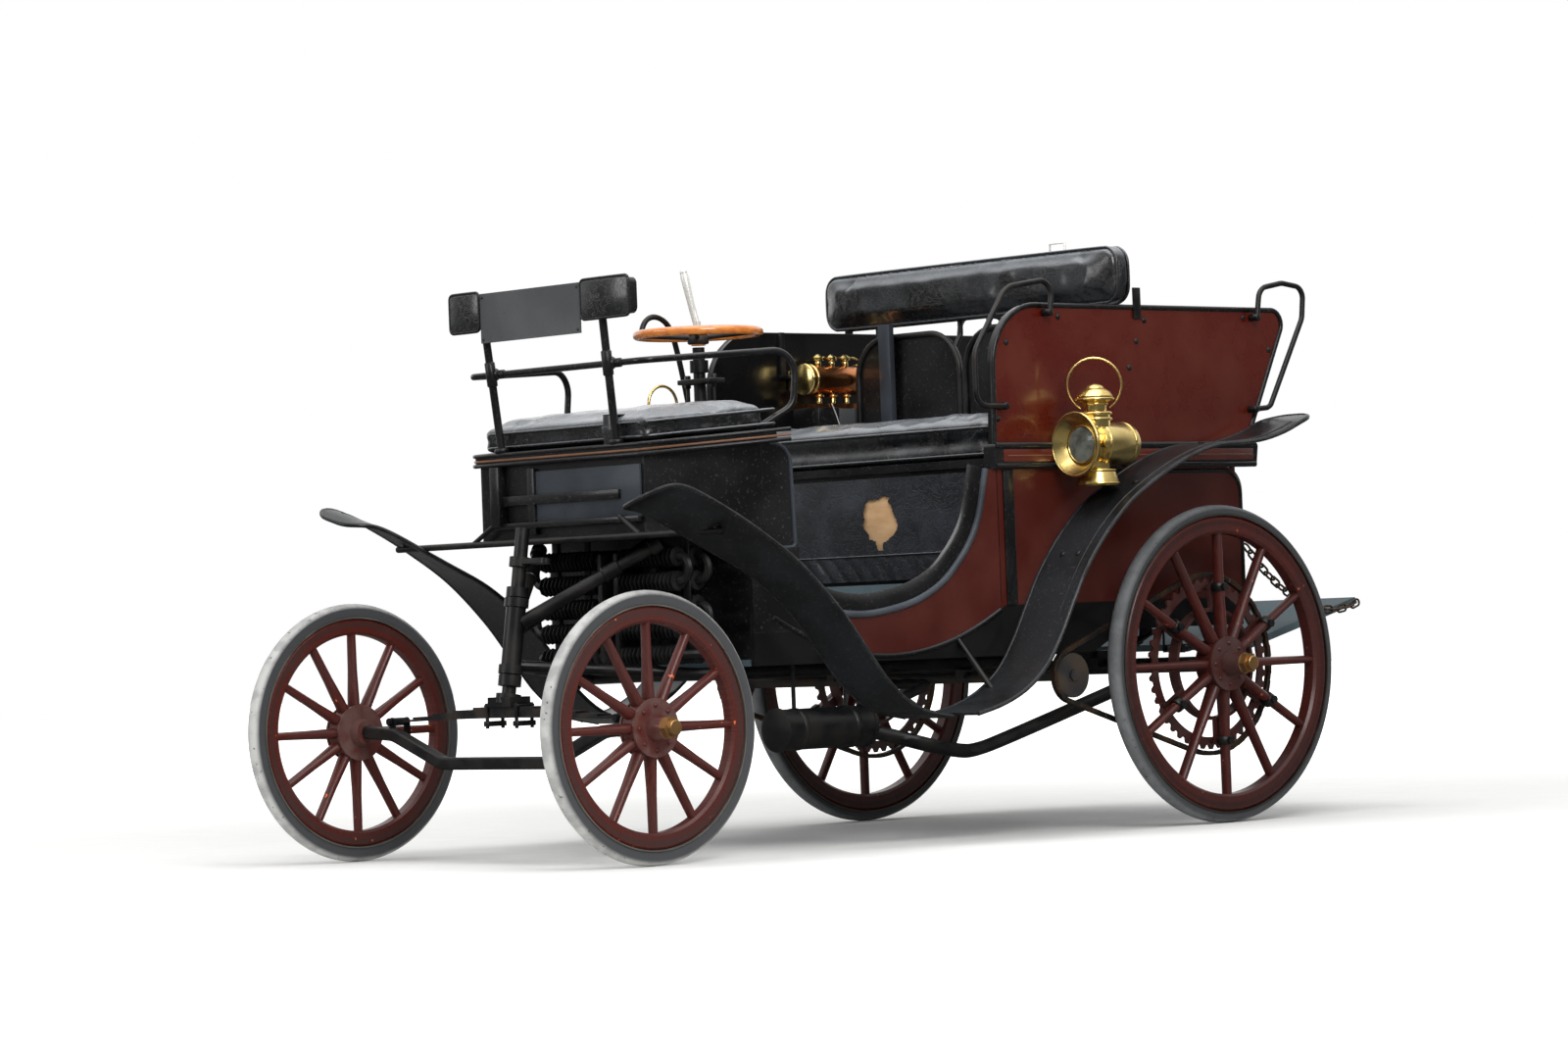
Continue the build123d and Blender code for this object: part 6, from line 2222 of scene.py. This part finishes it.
@dataclass
class Tail:
    """Tailboard with its irons, and the link chains that hold it."""

    board_y: float = 1.098
    board_z: float = 0.492
    slope: float = 14.0
    pitch: float = 0.030
    link_r: float = 0.0033

    def build(self, shop: Shop) -> None:
        """Dress and detail the tail."""
        shop.dress("blackened_iron", "tailboard_hinges")
        shop.dress("chain_steel", "tailboard_chains")
        self._battens(shop)
        for side, sign in SIDES:
            self._chain(shop, side, sign)

    def _on_board(self, run: float, rise: float) -> Flat:
        """Point (y, z) at a distance along the board and above its middle."""
        angle = math.radians(self.slope)
        return (
            self.board_y + run * math.cos(angle) - rise * math.sin(angle),
            self.board_z + run * math.sin(angle) + rise * math.cos(angle),
        )

    def _battens(self, shop: Shop) -> None:
        """Iron straps along the board's underside, each with three bolts."""
        angle = math.radians(self.slope)
        place = Matrix.Translation((0, *self._on_board(0.03, -0.0130))) @ Matrix.Rotation(angle, 4, "X")
        down = (0, math.sin(angle), -math.cos(angle))
        head = [(0.008, 0), (0.008, 0.004), (0.004, 0.005)]
        pieces = []
        for x in (-0.300, 0.300):
            strap = block("strap", (x - 0.019, 0, -0.0025), (x + 0.019, 0.41, 0.0025), 0.001)
            strap.matrix_world = place @ strap.matrix_world
            pieces.append(strap)
            for run in (0.10, 0.22, 0.34):
                pieces.append(turned("bolt", head, (x, *self._on_board(run, -0.0155)), down, 6))
        shop.hang(joined(pieces, "tailboard_straps"), "blackened_iron", 45, Body.TAIL_BOARD)

    def _chain(self, shop: Shop, side: str, sign: int) -> None:
        """Oval links that sag from an eye on the body to the board's pin."""
        x = sign * 0.594
        start, end = Vector((x, 1.088, 0.790)), Vector((x, 1.576, 0.611))
        sag = Vector((0, 0, -0.085))
        shares = [step / 60 for step in range(61)]
        route = [start.lerp(end, share) + sag * (4 * share * (1 - share)) for share in shares]
        total = length_of(route)
        count = int(total / self.pitch)
        moves = []
        for number in range(count):
            here = self._along(route, (number + 0.1) * total / count)
            after = self._along(route, (number + 0.9) * total / count)
            ahead = (after - here).normalized()
            turn = Vector((0, 1, 0)).rotation_difference(ahead).to_matrix().to_4x4()
            roll = Matrix.Rotation(math.radians(90 * (number % 2)), 4, "Y")
            moves.append(Matrix.Translation((here + after) / 2) @ turn @ roll)
        half, wide = self.pitch * 0.66, 0.0105
        oval = []
        for step in range(16):
            angle = math.radians(22.5 * step)
            stretch = (half - wide) * (1 if math.sin(angle) > 0 else -1)
            oval.append((wide * math.cos(angle), wide * math.sin(angle) + stretch, 0))
        link = bar("link", oval, self.link_r, closed=True)
        chain = strung(link, moves, f"tailboard_chain_{side}")
        shop.coat(chain, "chain_steel", 60)
        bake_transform(chain)
        log.info("piece %s bends with the tailboard, %d faces", chain.name, len(chain.data.polygons))
        # One piece takes the place of the node that holds both chains
        if side == "right":
            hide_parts("tailboard_chains")

    def _along(self, route: Sequence[Vector], run: float) -> Vector:
        """Point at a distance along a route."""
        for start, end in zip(route, route[1:]):
            length = (end - start).length
            if run <= length:
                return start.lerp(end, run / length)
            run -= length
        return route[-1]


def main() -> None:
    """Build the car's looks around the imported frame."""
    logging.basicConfig(level=logging.INFO, format="%(message)s")
    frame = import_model()
    palette = Palette()
    shop = Shop(frame, palette)
    Studio().build()
    for part in (
        Wheels(), Upholstery(), Apron(), Coachwork(), Wings(), Bench(), Lamps(), Lubricator(), Controls(),
        Running(), Tail(),
    ):
        part.build(shop)
        log.info("%s done", type(part).__name__)


if __name__ == "__main__":
    main()
